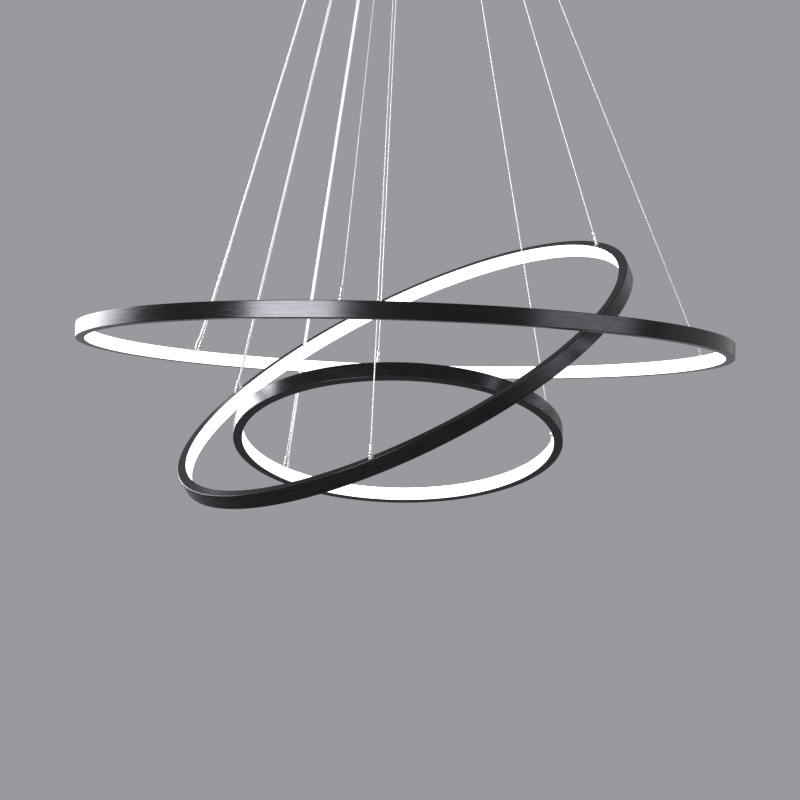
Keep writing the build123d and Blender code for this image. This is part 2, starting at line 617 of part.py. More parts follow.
def output_connector(ring):
    """The connector over a gland: the lead enters it from below, the driver's core from above."""
    block = Pos(0, 0, CONNECTOR_HEIGHT / 2) * Box(CONNECTOR_LENGTH, CONNECTOR_WIDTH, CONNECTOR_HEIGHT)
    block = chamfer(block.edges().filter_by(Axis.Z), CONNECTOR_EDGE)
    block -= Cylinder(LEAD_RADIUS + LEAD_CLEARANCE, 2 * CONNECTOR_ENTRY)
    block -= Pos(0, 0, CONNECTOR_HEIGHT) * Cylinder(CORE_HOLE_RADIUS, CONNECTOR_ENTRY)
    return connector_frame(ring) * block


def lead_points(ring):
    """A power lead's route: connector, gland, down its wire, and into the ring's grommet."""
    place = canopy_lead_place(ring)
    _, start, end, anchor = ring.wire(LEAD_SIDE)
    along = (end - start).normalized()
    grommet = ring.point(ring.middle, ring.lead_azimuth, HALF_HEIGHT)
    above = ring.point(ring.middle, ring.lead_azimuth, HALF_HEIGHT + LEAD_RISE)
    inside = ring.point(ring.middle, ring.lead_azimuth, CAVITY_HALF - 2 * LEAD_RADIUS)
    sideways = grommet - anchor
    sideways = (sideways - along * sideways.dot(along)).normalized()
    beside = sideways * (WIRE_RADIUS + LEAD_RADIUS + LEAD_GAP)
    return [
        Vector(place.X, place.Y, CANOPY_FLOOR + GLAND_NUT + CONNECTOR_ENTRY),
        Vector(place.X, place.Y, -CANOPY_HEIGHT - LEAD_FALL),
        start + along * LEAD_JOIN + beside,
        end - along * LEAD_PART + beside,
        above,
        inside,
    ]


def corner_radii(points):
    """The largest arc that each corner's two runs allow, with a straight bit left between arcs."""
    radii = []
    for before, corner, after in zip(points, points[1:], points[2:]):
        half_turn = radians((corner - before).get_angle(after - corner)) / 2
        shorter = min((corner - before).length, (after - corner).length)
        radii.append(ARC_SHARE * shorter / tan(half_turn))
    return radii


def power_lead(ring):
    """The clear two-core lead that feeds a ring."""
    points = lead_points(ring)
    radii = corner_radii(points)
    print(ring.name, "lead radii", [round(r, 1) for r in radii])
    path = FilletPolyline(*points, radius=radii)
    print(ring.name, "lead length", round(path.length, 1))
    return tube_along(path, LEAD_RADIUS)


def driver_cables():
    """The driver's cores: two to the terminal block, one to each output connector."""
    cables = []
    end = DRIVER_LENGTH / 2
    level = -BRACKET_THICKNESS - CABLE_DROP
    for index in range(TERMINAL_ENTRIES):
        entry = terminal_entry(index)
        y = DRIVER_PLACE_Y + (0.5 - index) * CABLE_PITCH
        cables.append([
            Vector(end, y, entry.Z),
            Vector(entry.X, y, entry.Z),
            entry + Vector(0, CABLE_ENTRY, 0),
        ])
    for index, ring in enumerate(RINGS):
        top = (connector_frame(ring) * Pos(0, 0, CONNECTOR_HEIGHT - CONNECTOR_ENTRY / 2)).position
        y = DRIVER_PLACE_Y + (index - 1) * CABLE_PITCH
        outer = len(RINGS) - 1 - index
        cables.append([
            Vector(-end, y, level),
            Vector(-end - CABLE_RUN_OUT - outer * CABLE_STEP, y, level),
            Vector(-end - CABLE_TURN_X + index * CABLE_STEP, CABLE_TURN_Y + index * CABLE_TURN_STEP, level),
            Vector(top.X, top.Y, level),
            top,
        ])
    solids = []
    for points in cables:
        path = FilletPolyline(*points, radius=corner_radii(points))
        solids.append(tube_along(path, CABLE_CORE_RADIUS))
    return solids


add("ceiling_bracket", ceiling_bracket())
add("canopy_cover", canopy_cover())
add("side_screws", side_screw(-1), side_screw(1))
add("led_driver", led_driver())
add("driver_screws", driver_screw(-1), driver_screw(1))
add("driver_cables", *driver_cables())
add("terminal_block", terminal_block())
add("gripper_bodies", *[gripper_body(foot) for foot in gripper_feet()])
add("gripper_nuts", *[gripper_nut(foot) for foot in gripper_feet()])
add("lead_glands", *[lead_gland(ring) for ring in RINGS])
add("output_connectors", *[output_connector(ring) for ring in RINGS])
add("wire_tails", *[wire_tail(ring, i) for ring in RINGS for i in range(len(ring.anchors))])
for ring in RINGS:
    for index, side in enumerate(WIRE_NAMES):
        add(f"{ring.name}_{side}_nipple", release_nipple(ring.gripper(index)))
        add(f"{ring.name}_{side}_wire", free_wire(ring, index))
    add(f"{ring.name}_power_lead", power_lead(ring))

os.makedirs("parts", exist_ok=True)
for node, solids in parts.items():
    export_step(Compound(solids), f"parts/{node}.step")
print(len(parts), "nodes")
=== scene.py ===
import json
import math

import bmesh
import bpy
from mathutils import Matrix, Quaternion, Vector


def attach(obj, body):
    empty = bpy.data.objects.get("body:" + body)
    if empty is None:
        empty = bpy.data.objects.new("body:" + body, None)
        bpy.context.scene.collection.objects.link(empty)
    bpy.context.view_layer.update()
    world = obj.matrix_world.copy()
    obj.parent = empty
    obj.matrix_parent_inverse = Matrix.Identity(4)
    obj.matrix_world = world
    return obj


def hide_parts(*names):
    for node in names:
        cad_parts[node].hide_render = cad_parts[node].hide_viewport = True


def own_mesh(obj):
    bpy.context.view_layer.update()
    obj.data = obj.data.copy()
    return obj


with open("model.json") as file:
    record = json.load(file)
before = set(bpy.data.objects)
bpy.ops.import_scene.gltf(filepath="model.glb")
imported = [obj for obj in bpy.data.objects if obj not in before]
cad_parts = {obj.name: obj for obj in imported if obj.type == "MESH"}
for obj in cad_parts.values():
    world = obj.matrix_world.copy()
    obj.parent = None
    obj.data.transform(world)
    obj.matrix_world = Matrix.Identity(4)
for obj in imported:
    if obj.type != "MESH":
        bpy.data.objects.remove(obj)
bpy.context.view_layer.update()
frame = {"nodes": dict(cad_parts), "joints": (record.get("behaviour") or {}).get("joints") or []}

# --- The camera ---
# It stands two metres in front of the rings, level with them, and looks straight ahead, so that
# the canopy is above the picture and the wires run out of its top.
camera_body = bpy.data.cameras.new("camera")
camera_body.sensor_width = 36.0
camera_body.lens = 73.3
camera = bpy.data.objects.new("camera", camera_body)
camera.location = (-0.0186, -2.0041, -0.8511)
camera.rotation_euler = (math.radians(90), 0, 0)
bpy.context.scene.collection.objects.link(camera)
bpy.context.scene.camera = camera

# --- The ceiling bracket and the nuts ---
# A plate stamped from 2 mm steel with turned-down ends, screwed to the ceiling. Nine hexagon nuts
# clamp the wire grippers to the canopy's floor. Both are zinc plated.


def colour(code):
    """A linear colour from an sRGB hex value."""
    parts = [int(code[i:i + 2], 16) / 255 for i in (1, 3, 5)]
    return [c / 12.92 if c <= 0.04045 else ((c + 0.055) / 1.055) ** 2.4 for c in parts] + [1.0]


def finish_of(name, **settings):
    """A new material, its node tree and its surface shader, with the settings that are the same all over."""
    material = bpy.data.materials.new(name)
    material.use_nodes = True
    tree = material.node_tree
    surface = tree.nodes["Principled BSDF"]
    for socket, value in settings.items():
        surface.inputs[socket.replace("_", " ")].default_value = value
    return material, tree, surface


def add(tree, kind, inputs, **settings):
    """A shader node: inputs gives its sockets numbers, hex colours or other nodes' outputs."""
    node = tree.nodes.new(kind)
    for name, value in settings.items():
        setattr(node, name, value)
    for socket, value in inputs.items():
        if isinstance(value, bpy.types.NodeSocket):
            tree.links.new(value, node.inputs[socket])
        else:
            node.inputs[socket].default_value = colour(value) if isinstance(value, str) else value
    return node


def coat(surface, **nodes):
    """Links each node's first output that is in use to a socket of the surface shader."""
    for socket, node in nodes.items():
        output = next(output for output in node.outputs if output.enabled)
        surface.id_data.links.new(output, surface.inputs[socket.replace("_", " ")])


def dress(material, *nodes):
    """Gives CAD nodes, which keep their shape, their finish."""
    for node in nodes:
        mesh = frame["nodes"][node].data
        mesh.materials.clear()
        mesh.materials.append(material)


# Zinc plating: bluish grey, in dull crystals a few millimetres across, with finer clouding on them.
zinc, tree, surface = finish_of("zinc_plated_steel", Metallic=1.0)
where = add(tree, "ShaderNodeTexCoord", {})
crystals = add(tree, "ShaderNodeTexVoronoi", {"Vector": where.outputs["Object"], "Scale": 260.0})
clouds = add(tree, "ShaderNodeTexNoise", {"Vector": where.outputs["Object"], "Scale": 900.0, "Detail": 4.0})
both = add(tree, "ShaderNodeMix", {"Factor": 0.5, "A": crystals.outputs["Color"],
                                   "B": clouds.outputs["Color"]}, data_type="RGBA")
tone = add(tree, "ShaderNodeMix", {"Factor": both.outputs["Result"], "A": "#a9adb1", "B": "#d2d4d5"},
           data_type="RGBA")
gloss = add(tree, "ShaderNodeMapRange", {"Value": both.outputs["Result"], "To Min": 0.3, "To Max": 0.52})
coat(surface, Base_Color=tone, Roughness=gloss)
dress(zinc, "ceiling_bracket", "gripper_nuts")

# --- The canopy ---
# A round cup deep-drawn from 1.2 mm steel, powder coated satin black, with a rolled lower edge. Two
# thumbscrews at its sides hold it to the bracket.

# Powder coat: near black, with the fine orange peel that the melted powder leaves, and a soft sheen.
powder_coat, tree, surface = finish_of("satin_black_powder_coat", Specular_IOR_Level=0.5)
where = add(tree, "ShaderNodeTexCoord", {})
peel = add(tree, "ShaderNodeTexNoise", {"Vector": where.outputs["Object"], "Scale": 1400.0, "Detail": 3.0})
wide = add(tree, "ShaderNodeTexNoise", {"Vector": where.outputs["Object"], "Scale": 60.0, "Detail": 3.0})
tone = add(tree, "ShaderNodeMix", {"Factor": wide.outputs["Fac"], "A": "#1a1a1c", "B": "#252528"},
           data_type="RGBA")
gloss = add(tree, "ShaderNodeMapRange", {"Value": wide.outputs["Fac"], "To Min": 0.38, "To Max": 0.56})
relief = add(tree, "ShaderNodeBump", {"Height": peel.outputs["Fac"], "Strength": 0.35, "Distance": 0.0001})
coat(surface, Base_Color=tone, Roughness=gloss, Normal=relief)
dress(powder_coat, "canopy_cover")

# --- The side thumbscrews ---
# Turned brass, nickel plated, with a straight knurl round the head and a dished end. Each goes
# through the canopy's wall into the bracket's tab.
THUMBSCREW_RADIUS = 0.004
THUMBSCREW_HEAD = 0.005
THUMBSCREW_SHANK = 0.002
THUMBSCREW_SEAT = 0.12  # the canopy's outer wall
THUMBSCREW_TIP = 0.1150  # inside the bracket's tab
THUMBSCREW_HEIGHT = -0.011
THUMBSCREW_DISH = 0.0005
THUMBSCREW_TIP_ROUND = 0.0004
THUMBSCREW_HEAD_ROUND = 0.0006
THUMBSCREW_DISH_ROUND = 0.0002
KNURL_DEPTH = 0.00022
KNURL_STEPS = 72


def polar(radius, azimuth, z):
    """A point given by its distance from the Z axis, its azimuth in degrees and its height."""
    turn = math.radians(azimuth)
    return Vector((radius * math.cos(turn), radius * math.sin(turn), z))


def turned(outline, rounded, steps, arc=math.tau):
    """Turns a closed outline of (radius, z) points round the Z axis.

    rounded gives numbers of the outline's corners, the radius that rounds them and its segments.
    """
    shape = bmesh.new()
    corners = [shape.verts.new((r, 0, z)) for r, z in outline]
    face = shape.faces.new(corners)
    for numbers, radius, segments in rounded:
        bmesh.ops.bevel(shape, geom=[corners[n] for n in numbers], affect="VERTICES", offset=radius,
                        segments=segments, profile=0.5, material=-1)
    across = shape.verts.layers.float.new("across")
    run = 0.0
    for loop in shape.faces[:][0].loops:
        loop.vert[across] = run
        run += loop.edge.calc_length()
    closed = arc > math.tau - 1e-6
    if closed:
        bmesh.ops.delete(shape, geom=shape.faces[:], context="FACES_ONLY")
        on_axis = [e for e in shape.edges if all(abs(v.co.x) < 1e-9 for v in e.verts)]
        bmesh.ops.delete(shape, geom=on_axis, context="EDGES")
    else:
        start = Matrix.Rotation((math.tau - arc) / 2, 3, "Z")
        bmesh.ops.rotate(shape, cent=(0, 0, 0), matrix=start, verts=shape.verts[:])
    bmesh.ops.spin(shape, geom=shape.edges[:] + shape.faces[:], cent=(0, 0, 0), axis=(0, 0, 1),
                   dvec=(0, 0, 0), angle=arc, steps=steps, use_merge=closed)
    poles = [v for v in shape.verts if math.hypot(v.co.x, v.co.y) < 1e-8]
    bmesh.ops.remove_doubles(shape, verts=poles, dist=1e-7)
    bmesh.ops.recalc_face_normals(shape, faces=shape.faces[:])
    return shape


def gathered(shapes):
    """One bmesh out of several, each with the matrix that puts it in its place."""
    whole = bmesh.new()
    for shape, matrix in shapes:
        bmesh.ops.transform(shape, matrix=matrix, verts=shape.verts[:])
        mesh = bpy.data.meshes.new("part")
        shape.to_mesh(mesh)
        shape.free()
        whole.from_mesh(mesh)
        bpy.data.meshes.remove(mesh)
    return whole


def place_piece(name, shape, material, body, smooth_below=35):
    """Turns a finished bmesh into a named piece that rides on a body, smooth but for its edges."""
    mesh = bpy.data.meshes.new(name)
    shape.to_mesh(mesh)
    shape.free()
    mesh.shade_smooth()
    mesh.set_sharp_from_angle(angle=math.radians(smooth_below))
    mesh.materials.append(material)
    piece = bpy.data.objects.new(name, mesh)
    bpy.context.scene.collection.objects.link(piece)
    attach(piece, body)
    return piece


# Nickel plating over turned brass: bright and slightly warm, with the tool's faint rings and handling haze.
nickel, tree, surface = finish_of("nickel_plated_brass", Metallic=1.0)
where = add(tree, "ShaderNodeTexCoord", {})
rings_cut = add(tree, "ShaderNodeMapping", {"Vector": where.outputs["Object"],
                                            "Scale": (120.0, 120.0, 2600.0)})
lathe_marks = add(tree, "ShaderNodeTexNoise", {"Vector": rings_cut.outputs["Vector"], "Scale": 1.0,
                                               "Detail": 2.0})
haze = add(tree, "ShaderNodeTexNoise", {"Vector": where.outputs["Object"], "Scale": 300.0, "Detail": 3.0})
tone = add(tree, "ShaderNodeMix", {"Factor": haze.outputs["Fac"], "A": "#d3d0c9", "B": "#efede8"},
           data_type="RGBA")
gloss = add(tree, "ShaderNodeMapRange", {"Value": haze.outputs["Fac"], "To Min": 0.24, "To Max": 0.4})
relief = add(tree, "ShaderNodeBump", {"Height": lathe_marks.outputs["Fac"], "Strength": 0.08,
                                      "Distance": 0.00002})
coat(surface, Base_Color=tone, Roughness=gloss, Normal=relief)

thumbscrews = []
for side in (0, 180):
    head = THUMBSCREW_SEAT + THUMBSCREW_HEAD
    shape = turned([
        (0, THUMBSCREW_TIP),
        (THUMBSCREW_SHANK, THUMBSCREW_TIP),
        (THUMBSCREW_SHANK, THUMBSCREW_SEAT),
        (THUMBSCREW_RADIUS, THUMBSCREW_SEAT),
        (THUMBSCREW_RADIUS, head),
        (THUMBSCREW_RADIUS * 0.6, head),
        (THUMBSCREW_RADIUS * 0.5, head - THUMBSCREW_DISH),
        (0, head - THUMBSCREW_DISH),
    ], [
        ((1,), THUMBSCREW_TIP_ROUND, 1),
        ((3, 4), THUMBSCREW_HEAD_ROUND, 3),
        ((5, 6), THUMBSCREW_DISH_ROUND, 2),
    ], KNURL_STEPS)
    for vert in shape.verts:
        reach = math.hypot(vert.co.x, vert.co.y)
        ridge = round(math.atan2(vert.co.y, vert.co.x) / math.tau * KNURL_STEPS) % 2
        if reach > THUMBSCREW_RADIUS * 0.99 and ridge:
            vert.co.x *= 1 - KNURL_DEPTH / reach
            vert.co.y *= 1 - KNURL_DEPTH / reach
    lay_flat = Matrix.Rotation(math.radians(side), 4, "Z") @ Matrix.Rotation(math.radians(90), 4, "Y")
    thumbscrews.append((shape, Matrix.Translation((0, 0, THUMBSCREW_HEIGHT)) @ lay_flat))
piece = place_piece("knurled_thumbscrews", gathered(thumbscrews), nickel, "ceiling", 20)
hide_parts("side_screws")

# --- The driver ---
# A sealed power supply in a moulded light grey case, hung by its two ears under the bracket. Its
# cover is welded on, with a sunken panel. Two socket-head screws hold the ears.
DRIVER_LENGTH = 0.15
DRIVER_WIDTH = 0.04
DRIVER_BOTTOM = -0.025
DRIVER_PLACE_Y = -0.042
DRIVER_SCREW_X = 0.0795
DRIVER_EAR_BOTTOM = -0.0045
DRIVER_SCREW_HEAD_RADIUS = 0.0028
DRIVER_SCREW_HEAD = 0.0018
DRIVER_SCREW_RADIUS = 0.0015
DRIVER_SCREW_LENGTH = 0.0063
COVER_SHORTER = 0.008  # than the case
COVER_NARROWER = 0.01
COVER_THICKNESS = 0.0016
COVER_RAISED = 0.0002  # its middle, above the case's bottom
COVER_CORNER = 0.003
COVER_EDGE = 0.0003
PANEL_MARGIN = 0.0025
PANEL_SLOPE = 0.0003
PANEL_DEPTH = 0.0004
SCREW_SOCKET_DEPTH = 0.0011
SCREW_TIP_CHAMFER = 0.0003

# Moulded polycarbonate: light grey, with a fine spark-eroded grain that dulls it evenly.
case_plastic, tree, surface = finish_of("light_grey_polycarbonate", IOR=1.58)
where = add(tree, "ShaderNodeTexCoord", {})
spark = add(tree, "ShaderNodeTexNoise", {"Vector": where.outputs["Object"], "Scale": 1800.0, "Detail": 2.0})
flow = add(tree, "ShaderNodeTexNoise", {"Vector": where.outputs["Object"], "Scale": 30.0, "Detail": 2.0})
tone = add(tree, "ShaderNodeMix", {"Factor": flow.outputs["Fac"], "A": "#d6d6d3", "B": "#e0e0de"},
           data_type="RGBA")
gloss = add(tree, "ShaderNodeMapRange", {"Value": spark.outputs["Fac"], "To Min": 0.45, "To Max": 0.65})
relief = add(tree, "ShaderNodeBump", {"Height": spark.outputs["Fac"], "Strength": 0.3, "Distance": 0.00005})
coat(surface, Base_Color=tone, Roughness=gloss, Normal=relief)
dress(case_plastic, "led_driver")

cover = bmesh.new()
bmesh.ops.create_cube(cover, size=1.0)
cover_size = (DRIVER_LENGTH - COVER_SHORTER, DRIVER_WIDTH - COVER_NARROWER, COVER_THICKNESS)
bmesh.ops.scale(cover, vec=cover_size, verts=cover.verts[:])
upright = [e for e in cover.edges if abs(e.verts[0].co.z - e.verts[1].co.z) > COVER_THICKNESS / 2]
bmesh.ops.bevel(cover, geom=upright, affect="EDGES", offset=COVER_CORNER, segments=5, profile=0.5,
                material=-1)
under = min(cover.faces, key=lambda face: face.calc_center_median().z)
bmesh.ops.bevel(cover, geom=under.edges[:], affect="EDGES", offset=COVER_EDGE, segments=2, profile=0.5,
                material=-1)
under = min(cover.faces, key=lambda face: (round(face.calc_center_median().z, 6), -face.calc_area()))
bmesh.ops.inset_region(cover, faces=[under], thickness=PANEL_MARGIN, depth=0.0)
bmesh.ops.inset_region(cover, faces=[under], thickness=PANEL_SLOPE, depth=-PANEL_DEPTH)
bmesh.ops.translate(cover, vec=(0, DRIVER_PLACE_Y, DRIVER_BOTTOM + COVER_RAISED), verts=cover.verts[:])
place_piece("driver_cover", cover, case_plastic, "ceiling", 30)


def capped(shape):
    """Closes a shape's open ends and points its faces outwards."""
    bmesh.ops.holes_fill(shape, edges=[e for e in shape.edges if e.is_boundary], sides=0)
    bmesh.ops.recalc_face_normals(shape, faces=shape.faces[:])
    return shape


def drawn_out(shape, rim):
    """Extrudes an open rim and gives the new one, not yet moved."""
    grown = bmesh.ops.extrude_edge_only(shape, edges=rim)["geom"]
    return [e for e in grown if isinstance(e, bmesh.types.BMEdge)]


def socket_screw(head_radius, head_height, shank_radius, length, countersunk):
    """A screw with a hexagon socket, its head's top at the origin, pointing down."""
    across = head_radius * 0.55
    depth = min(SCREW_SOCKET_DEPTH, length * 0.4)
    shape = bmesh.new()
    socket = bmesh.ops.create_circle(shape, segments=6, radius=across)["verts"]
    flat_top = head_radius * (0.96 if countersunk else 0.8)
    rim = bmesh.ops.create_circle(shape, segments=24, radius=flat_top)["verts"]
    bmesh.ops.bridge_loops(shape, edges=shape.edges[:])
    floor = bmesh.ops.extrude_edge_only(shape, edges=[e for e in shape.edges if set(e.verts) <= set(socket)])
    floor = [v for v in floor["geom"] if isinstance(v, bmesh.types.BMVert)]
    bmesh.ops.translate(shape, verts=floor, vec=(0, 0, -depth))
    loop = [e for e in shape.edges if set(e.verts) <= set(rim)]
    stations = [(head_radius, -0.04 * head_radius), (shank_radius, shank_radius - head_radius)]
    if not countersunk:
        stations = [(head_radius * 0.95, -0.3 * head_height), (head_radius, -0.7 * head_height),
                    (head_radius, -head_height), (shank_radius, -head_height)]
    stations += [(shank_radius, SCREW_TIP_CHAMFER - length), (shank_radius - SCREW_TIP_CHAMFER, -length)]
    for radius, height in stations:
        loop = drawn_out(shape, loop)
        for vert in {v for e in loop for v in e.verts}:
            flat = Vector((vert.co.x, vert.co.y)).normalized() * radius
            vert.co = (flat.x, flat.y, height)
    return capped(shape)


screws = []
for side in (-1, 1):
    shape = socket_screw(DRIVER_SCREW_HEAD_RADIUS, DRIVER_SCREW_HEAD, DRIVER_SCREW_RADIUS,
                         DRIVER_SCREW_LENGTH, False)
    place = Matrix.Translation((side * DRIVER_SCREW_X, DRIVER_PLACE_Y, DRIVER_EAR_BOTTOM - DRIVER_SCREW_HEAD))
    screws.append((shape, place @ Matrix.Rotation(math.pi, 4, "X")))
piece = place_piece("driver_socket_screws", gathered(screws), zinc, "ceiling")
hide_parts("driver_screws")

# --- The connectors and the driver's cores ---
# The supply cable ends in a two-way terminal block of natural nylon, whose clamp screws stand in
# moulded collars. Black insulated cores run from the driver to it and to three small connectors.
TERMINAL_PLACE_X = 0.0859
TERMINAL_PITCH = 0.012
TERMINAL_BOTTOM = -0.017
COLLAR_BORE_RADIUS = 0.0026
COLLAR_RADIUS = 0.0036
COLLAR_HEIGHT = 0.0012
COLLAR_SUNK = 0.0003
COLLAR_ROUND = 0.0003
CLAMP_HEAD_RADIUS = 0.0023
CLAMP_HEAD = 0.001
CLAMP_RADIUS = 0.0012
CLAMP_LENGTH = 0.0013

# Natural nylon: milky white, half gloss, with slight flow marks.
nylon, tree, surface = finish_of("natural_nylon", IOR=1.53, Subsurface_Weight=0.15, Subsurface_Scale=0.002)
where = add(tree, "ShaderNodeTexCoord", {})
flow = add(tree, "ShaderNodeTexNoise", {"Vector": where.outputs["Object"], "Scale": 160.0, "Detail": 3.0,
                                        "Distortion": 0.8})
tone = add(tree, "ShaderNodeMix", {"Factor": flow.outputs["Fac"], "A": "#e4e3da", "B": "#f0efe8"},
           data_type="RGBA")
gloss = add(tree, "ShaderNodeMapRange", {"Value": flow.outputs["Fac"], "To Min": 0.28, "To Max": 0.42})
coat(surface, Base_Color=tone, Roughness=gloss)
dress(nylon, "terminal_block", "output_connectors")

collars, clamps = [], []
for side in (-1, 1):
    place = Matrix.Translation((TERMINAL_PLACE_X + side * TERMINAL_PITCH / 2, 0, TERMINAL_BOTTOM))
    shape = turned([
        (COLLAR_BORE_RADIUS, -COLLAR_HEIGHT),
        (COLLAR_RADIUS, -COLLAR_HEIGHT),
        (COLLAR_RADIUS, COLLAR_SUNK),
        (COLLAR_BORE_RADIUS, COLLAR_SUNK),
    ], [((0, 1), COLLAR_ROUND, 3)], 36)
    collars.append((shape, place))
    shape = socket_screw(CLAMP_HEAD_RADIUS, CLAMP_HEAD, CLAMP_RADIUS, CLAMP_LENGTH, False)
    clamps.append((shape, place @ Matrix.Translation((0, 0, -CLAMP_HEAD)) @ Matrix.Rotation(math.pi, 4, "X")))
place_piece("terminal_collars", gathered(collars), nylon, "ceiling")
place_piece("terminal_clamp_screws", gathered(clamps), zinc, "ceiling")

# Core insulation: black soft PVC, faintly dusty from the talc inside its sleeve.
core_pvc, tree, surface = finish_of("black_core_insulation", IOR=1.53)
where = add(tree, "ShaderNodeTexCoord", {})
talc = add(tree, "ShaderNodeTexNoise", {"Vector": where.outputs["Object"], "Scale": 700.0, "Detail": 4.0})
tone = add(tree, "ShaderNodeMix", {"Factor": talc.outputs["Fac"], "A": "#18181a", "B": "#303033"},
           data_type="RGBA")
gloss = add(tree, "ShaderNodeMapRange", {"Value": talc.outputs["Fac"], "To Min": 0.3, "To Max": 0.55})
coat(surface, Base_Color=tone, Roughness=gloss)
dress(core_pvc, "driver_cables")

# --- The lead glands ---
# Black nylon bushings clamped in the canopy's floor, through which the power leads come out.
gland_nylon, tree, surface = finish_of("black_nylon", IOR=1.53)
where = add(tree, "ShaderNodeTexCoord", {})
grain = add(tree, "ShaderNodeTexNoise", {"Vector": where.outputs["Object"], "Scale": 1500.0, "Detail": 3.0})
tone = add(tree, "ShaderNodeMix", {"Factor": grain.outputs["Fac"], "A": "#161617", "B": "#262628"},
           data_type="RGBA")
gloss = add(tree, "ShaderNodeMapRange", {"Value": grain.outputs["Fac"], "To Min": 0.35, "To Max": 0.5})
relief = add(tree, "ShaderNodeBump", {"Height": grain.outputs["Fac"], "Strength": 0.25, "Distance": 0.00005})
coat(surface, Base_Color=tone, Roughness=gloss, Normal=relief)
dress(gland_nylon, "lead_glands")

# --- The wire grippers ---
# Turned and nickel plated barrels under the canopy, three for each ring. A sprung nipple in each one
# holds the wire in a ball lock, and lets it slide when it is pushed up.
SIDES = ("right", "left", "front")
dress(nickel, "gripper_bodies")
for ring_name in ("large", "medium", "small"):
    dress(nickel, *[f"{ring_name}_{side}_nipple" for side in SIDES])

# --- The suspension wires ---
# Stainless steel wire rope, 1.2 mm thick: six strands laid round a core, drawn bright. Each ring
# hangs on three, pulled straight by its weight between a gripper's knee and a crimped ferrule.

# Where each ring hangs: its outer radius and its middle, how far it leans and the azimuth of its high
# side, the azimuths of its right, left and front anchors, the distance of its grippers from the
# canopy's axis, and how far clockwise along the ring its lead is from its left anchor.
RINGS = {
    "large": {"radius": 0.4, "centre": (-0.0124, 0.0082, -0.7854), "tilt": 3.8, "high": 239.6,
              "anchors": (14.0, 136.9, 260.4), "grippers": 0.069, "lead": -0.0065},
    "medium": {"radius": 0.3, "centre": (-0.0178, -0.0174, -0.8092), "tilt": 31.6, "high": 35.3,
               "anchors": (15.8, 139.6, 259.7), "grippers": 0.0525, "lead": 0.01},
    "small": {"radius": 0.2, "centre": (-0.0211, -0.0186, -0.8983), "tilt": 24.0, "high": 267.5,
              "anchors": (9.6, 138.8, 263.3), "grippers": 0.038, "lead": 0.0065},
}
SPOKES = (17.0, 137.0, 257.0)  # azimuths of the right, left and front grippers
PROFILE_DEPTH = 0.011
PROFILE_HEIGHT = 0.018
BALL_HEIGHT = 0.01112  # the ferrule's ball above the ring's middle plane
FERRULE_LENGTH = 0.012
FERRULE_BALL_RADIUS = 0.0018
KNEE_HEIGHT = -0.0705
KNEE_REACH = 0.0041436  # from the knee to the start of the free wire
TAIL_TOP = -0.0378
WIRE_RADIUS = 0.0006
WIRE_END_GAP = 0.0003
STRAND_LAY = 0.011  # one turn of a strand
LAY_STEPS = 9
STRAND_GROOVE = 0.93  # radius between two strands, as a share of the wire's
LEAST_LIFT = 0.001  # a wire whose foot moves less than this keeps its length


def hang(ring):
    """Takes a ring drawn flat round the origin to where it hangs, leaning from its high side."""
    high = math.radians(ring["high"])
    lean = Matrix.Rotation(-math.radians(ring["tilt"]), 4, "Y")
    turn = Matrix.Rotation(high, 4, "Z") @ lean @ Matrix.Rotation(-high, 4, "Z")
    return Matrix.Translation(ring["centre"]) @ turn


def ring_place(ring, azimuth, z=0.0):
    """The frame of a fitting that stands in the ring's top web."""
    return hang(ring) @ Matrix.Translation(polar(ring["radius"] - PROFILE_DEPTH / 2, azimuth, z))


def wire_ends(ring, index):
    """The knee under a gripper, where the free wire starts and ends, and the middle of its ferrule's ball."""
    knee = polar(ring["grippers"], SPOKES[index], KNEE_HEIGHT)
    ball = ring_place(ring, ring["anchors"][index], BALL_HEIGHT).translation
    along = (ball - knee).normalized()
    return knee, knee + along * KNEE_REACH, ball - along * (FERRULE_LENGTH + FERRULE_BALL_RADIUS), ball


def follow_ring(piece, ring_name, foot):
    """Gives a wire or lead a mesh of its own if its ring's joint, at the end of its range, moves its foot by
    more than LEAST_LIFT.
    """
    joint = next(j for j in frame["joints"] if j["child"] == ring_name + "_ring")
    axis = Vector(joint["axis"])
    if joint["type"] == "slide":
        lift = axis * joint["range_m"][1]
    else:
        pivot = Vector(joint["pos_m"])
        turn = Matrix.Rotation(math.radians(joint["range_deg"][1]), 3, axis)
        lift = turn @ (foot - pivot) - (foot - pivot)
    if lift.length > LEAST_LIFT:
        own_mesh(piece)


def swept(name, points, radius, kind):
    """A round cord along a route, as a mesh; with no radius, only its line."""
    curve = bpy.data.curves.new(name, "CURVE")
    curve.dimensions = "3D"
    curve.resolution_u = 12
    curve.bevel_depth = radius
    curve.bevel_resolution = 4
    curve.use_fill_caps = True
    spline = curve.splines.new(kind)
    spline.points.add(len(points) - 1)
    for knot, point in zip(spline.points, points):
        knot.co = (*point, 1.0)
    if kind == "NURBS":
        spline.order_u = 3
        spline.use_endpoint_u = True
    line = bpy.data.objects.new(name, curve)
    bpy.context.scene.collection.objects.link(line)
    bpy.context.view_layer.update()
    mesh = bpy.data.meshes.new_from_object(line.evaluated_get(bpy.context.evaluated_depsgraph_get()))
    bpy.data.objects.remove(line)
    bpy.data.curves.remove(curve)
    return mesh


def spaced(points, step):
    """The same line as evenly spaced points, each with the line's direction there."""
    ahead = [(b - a).length for a, b in zip(points, points[1:])]
    count = round(sum(ahead) / step)
    stations, run, index = [], 0.0, 0
    for k in range(count + 1):
        at = sum(ahead) * k / count
        while index < len(ahead) - 1 and run + ahead[index] < at:
            run += ahead[index]
            index += 1
        a, b = points[index], points[index + 1]
        stations.append((a + (b - a) * (at - run) / ahead[index], (b - a).normalized()))
    return stations


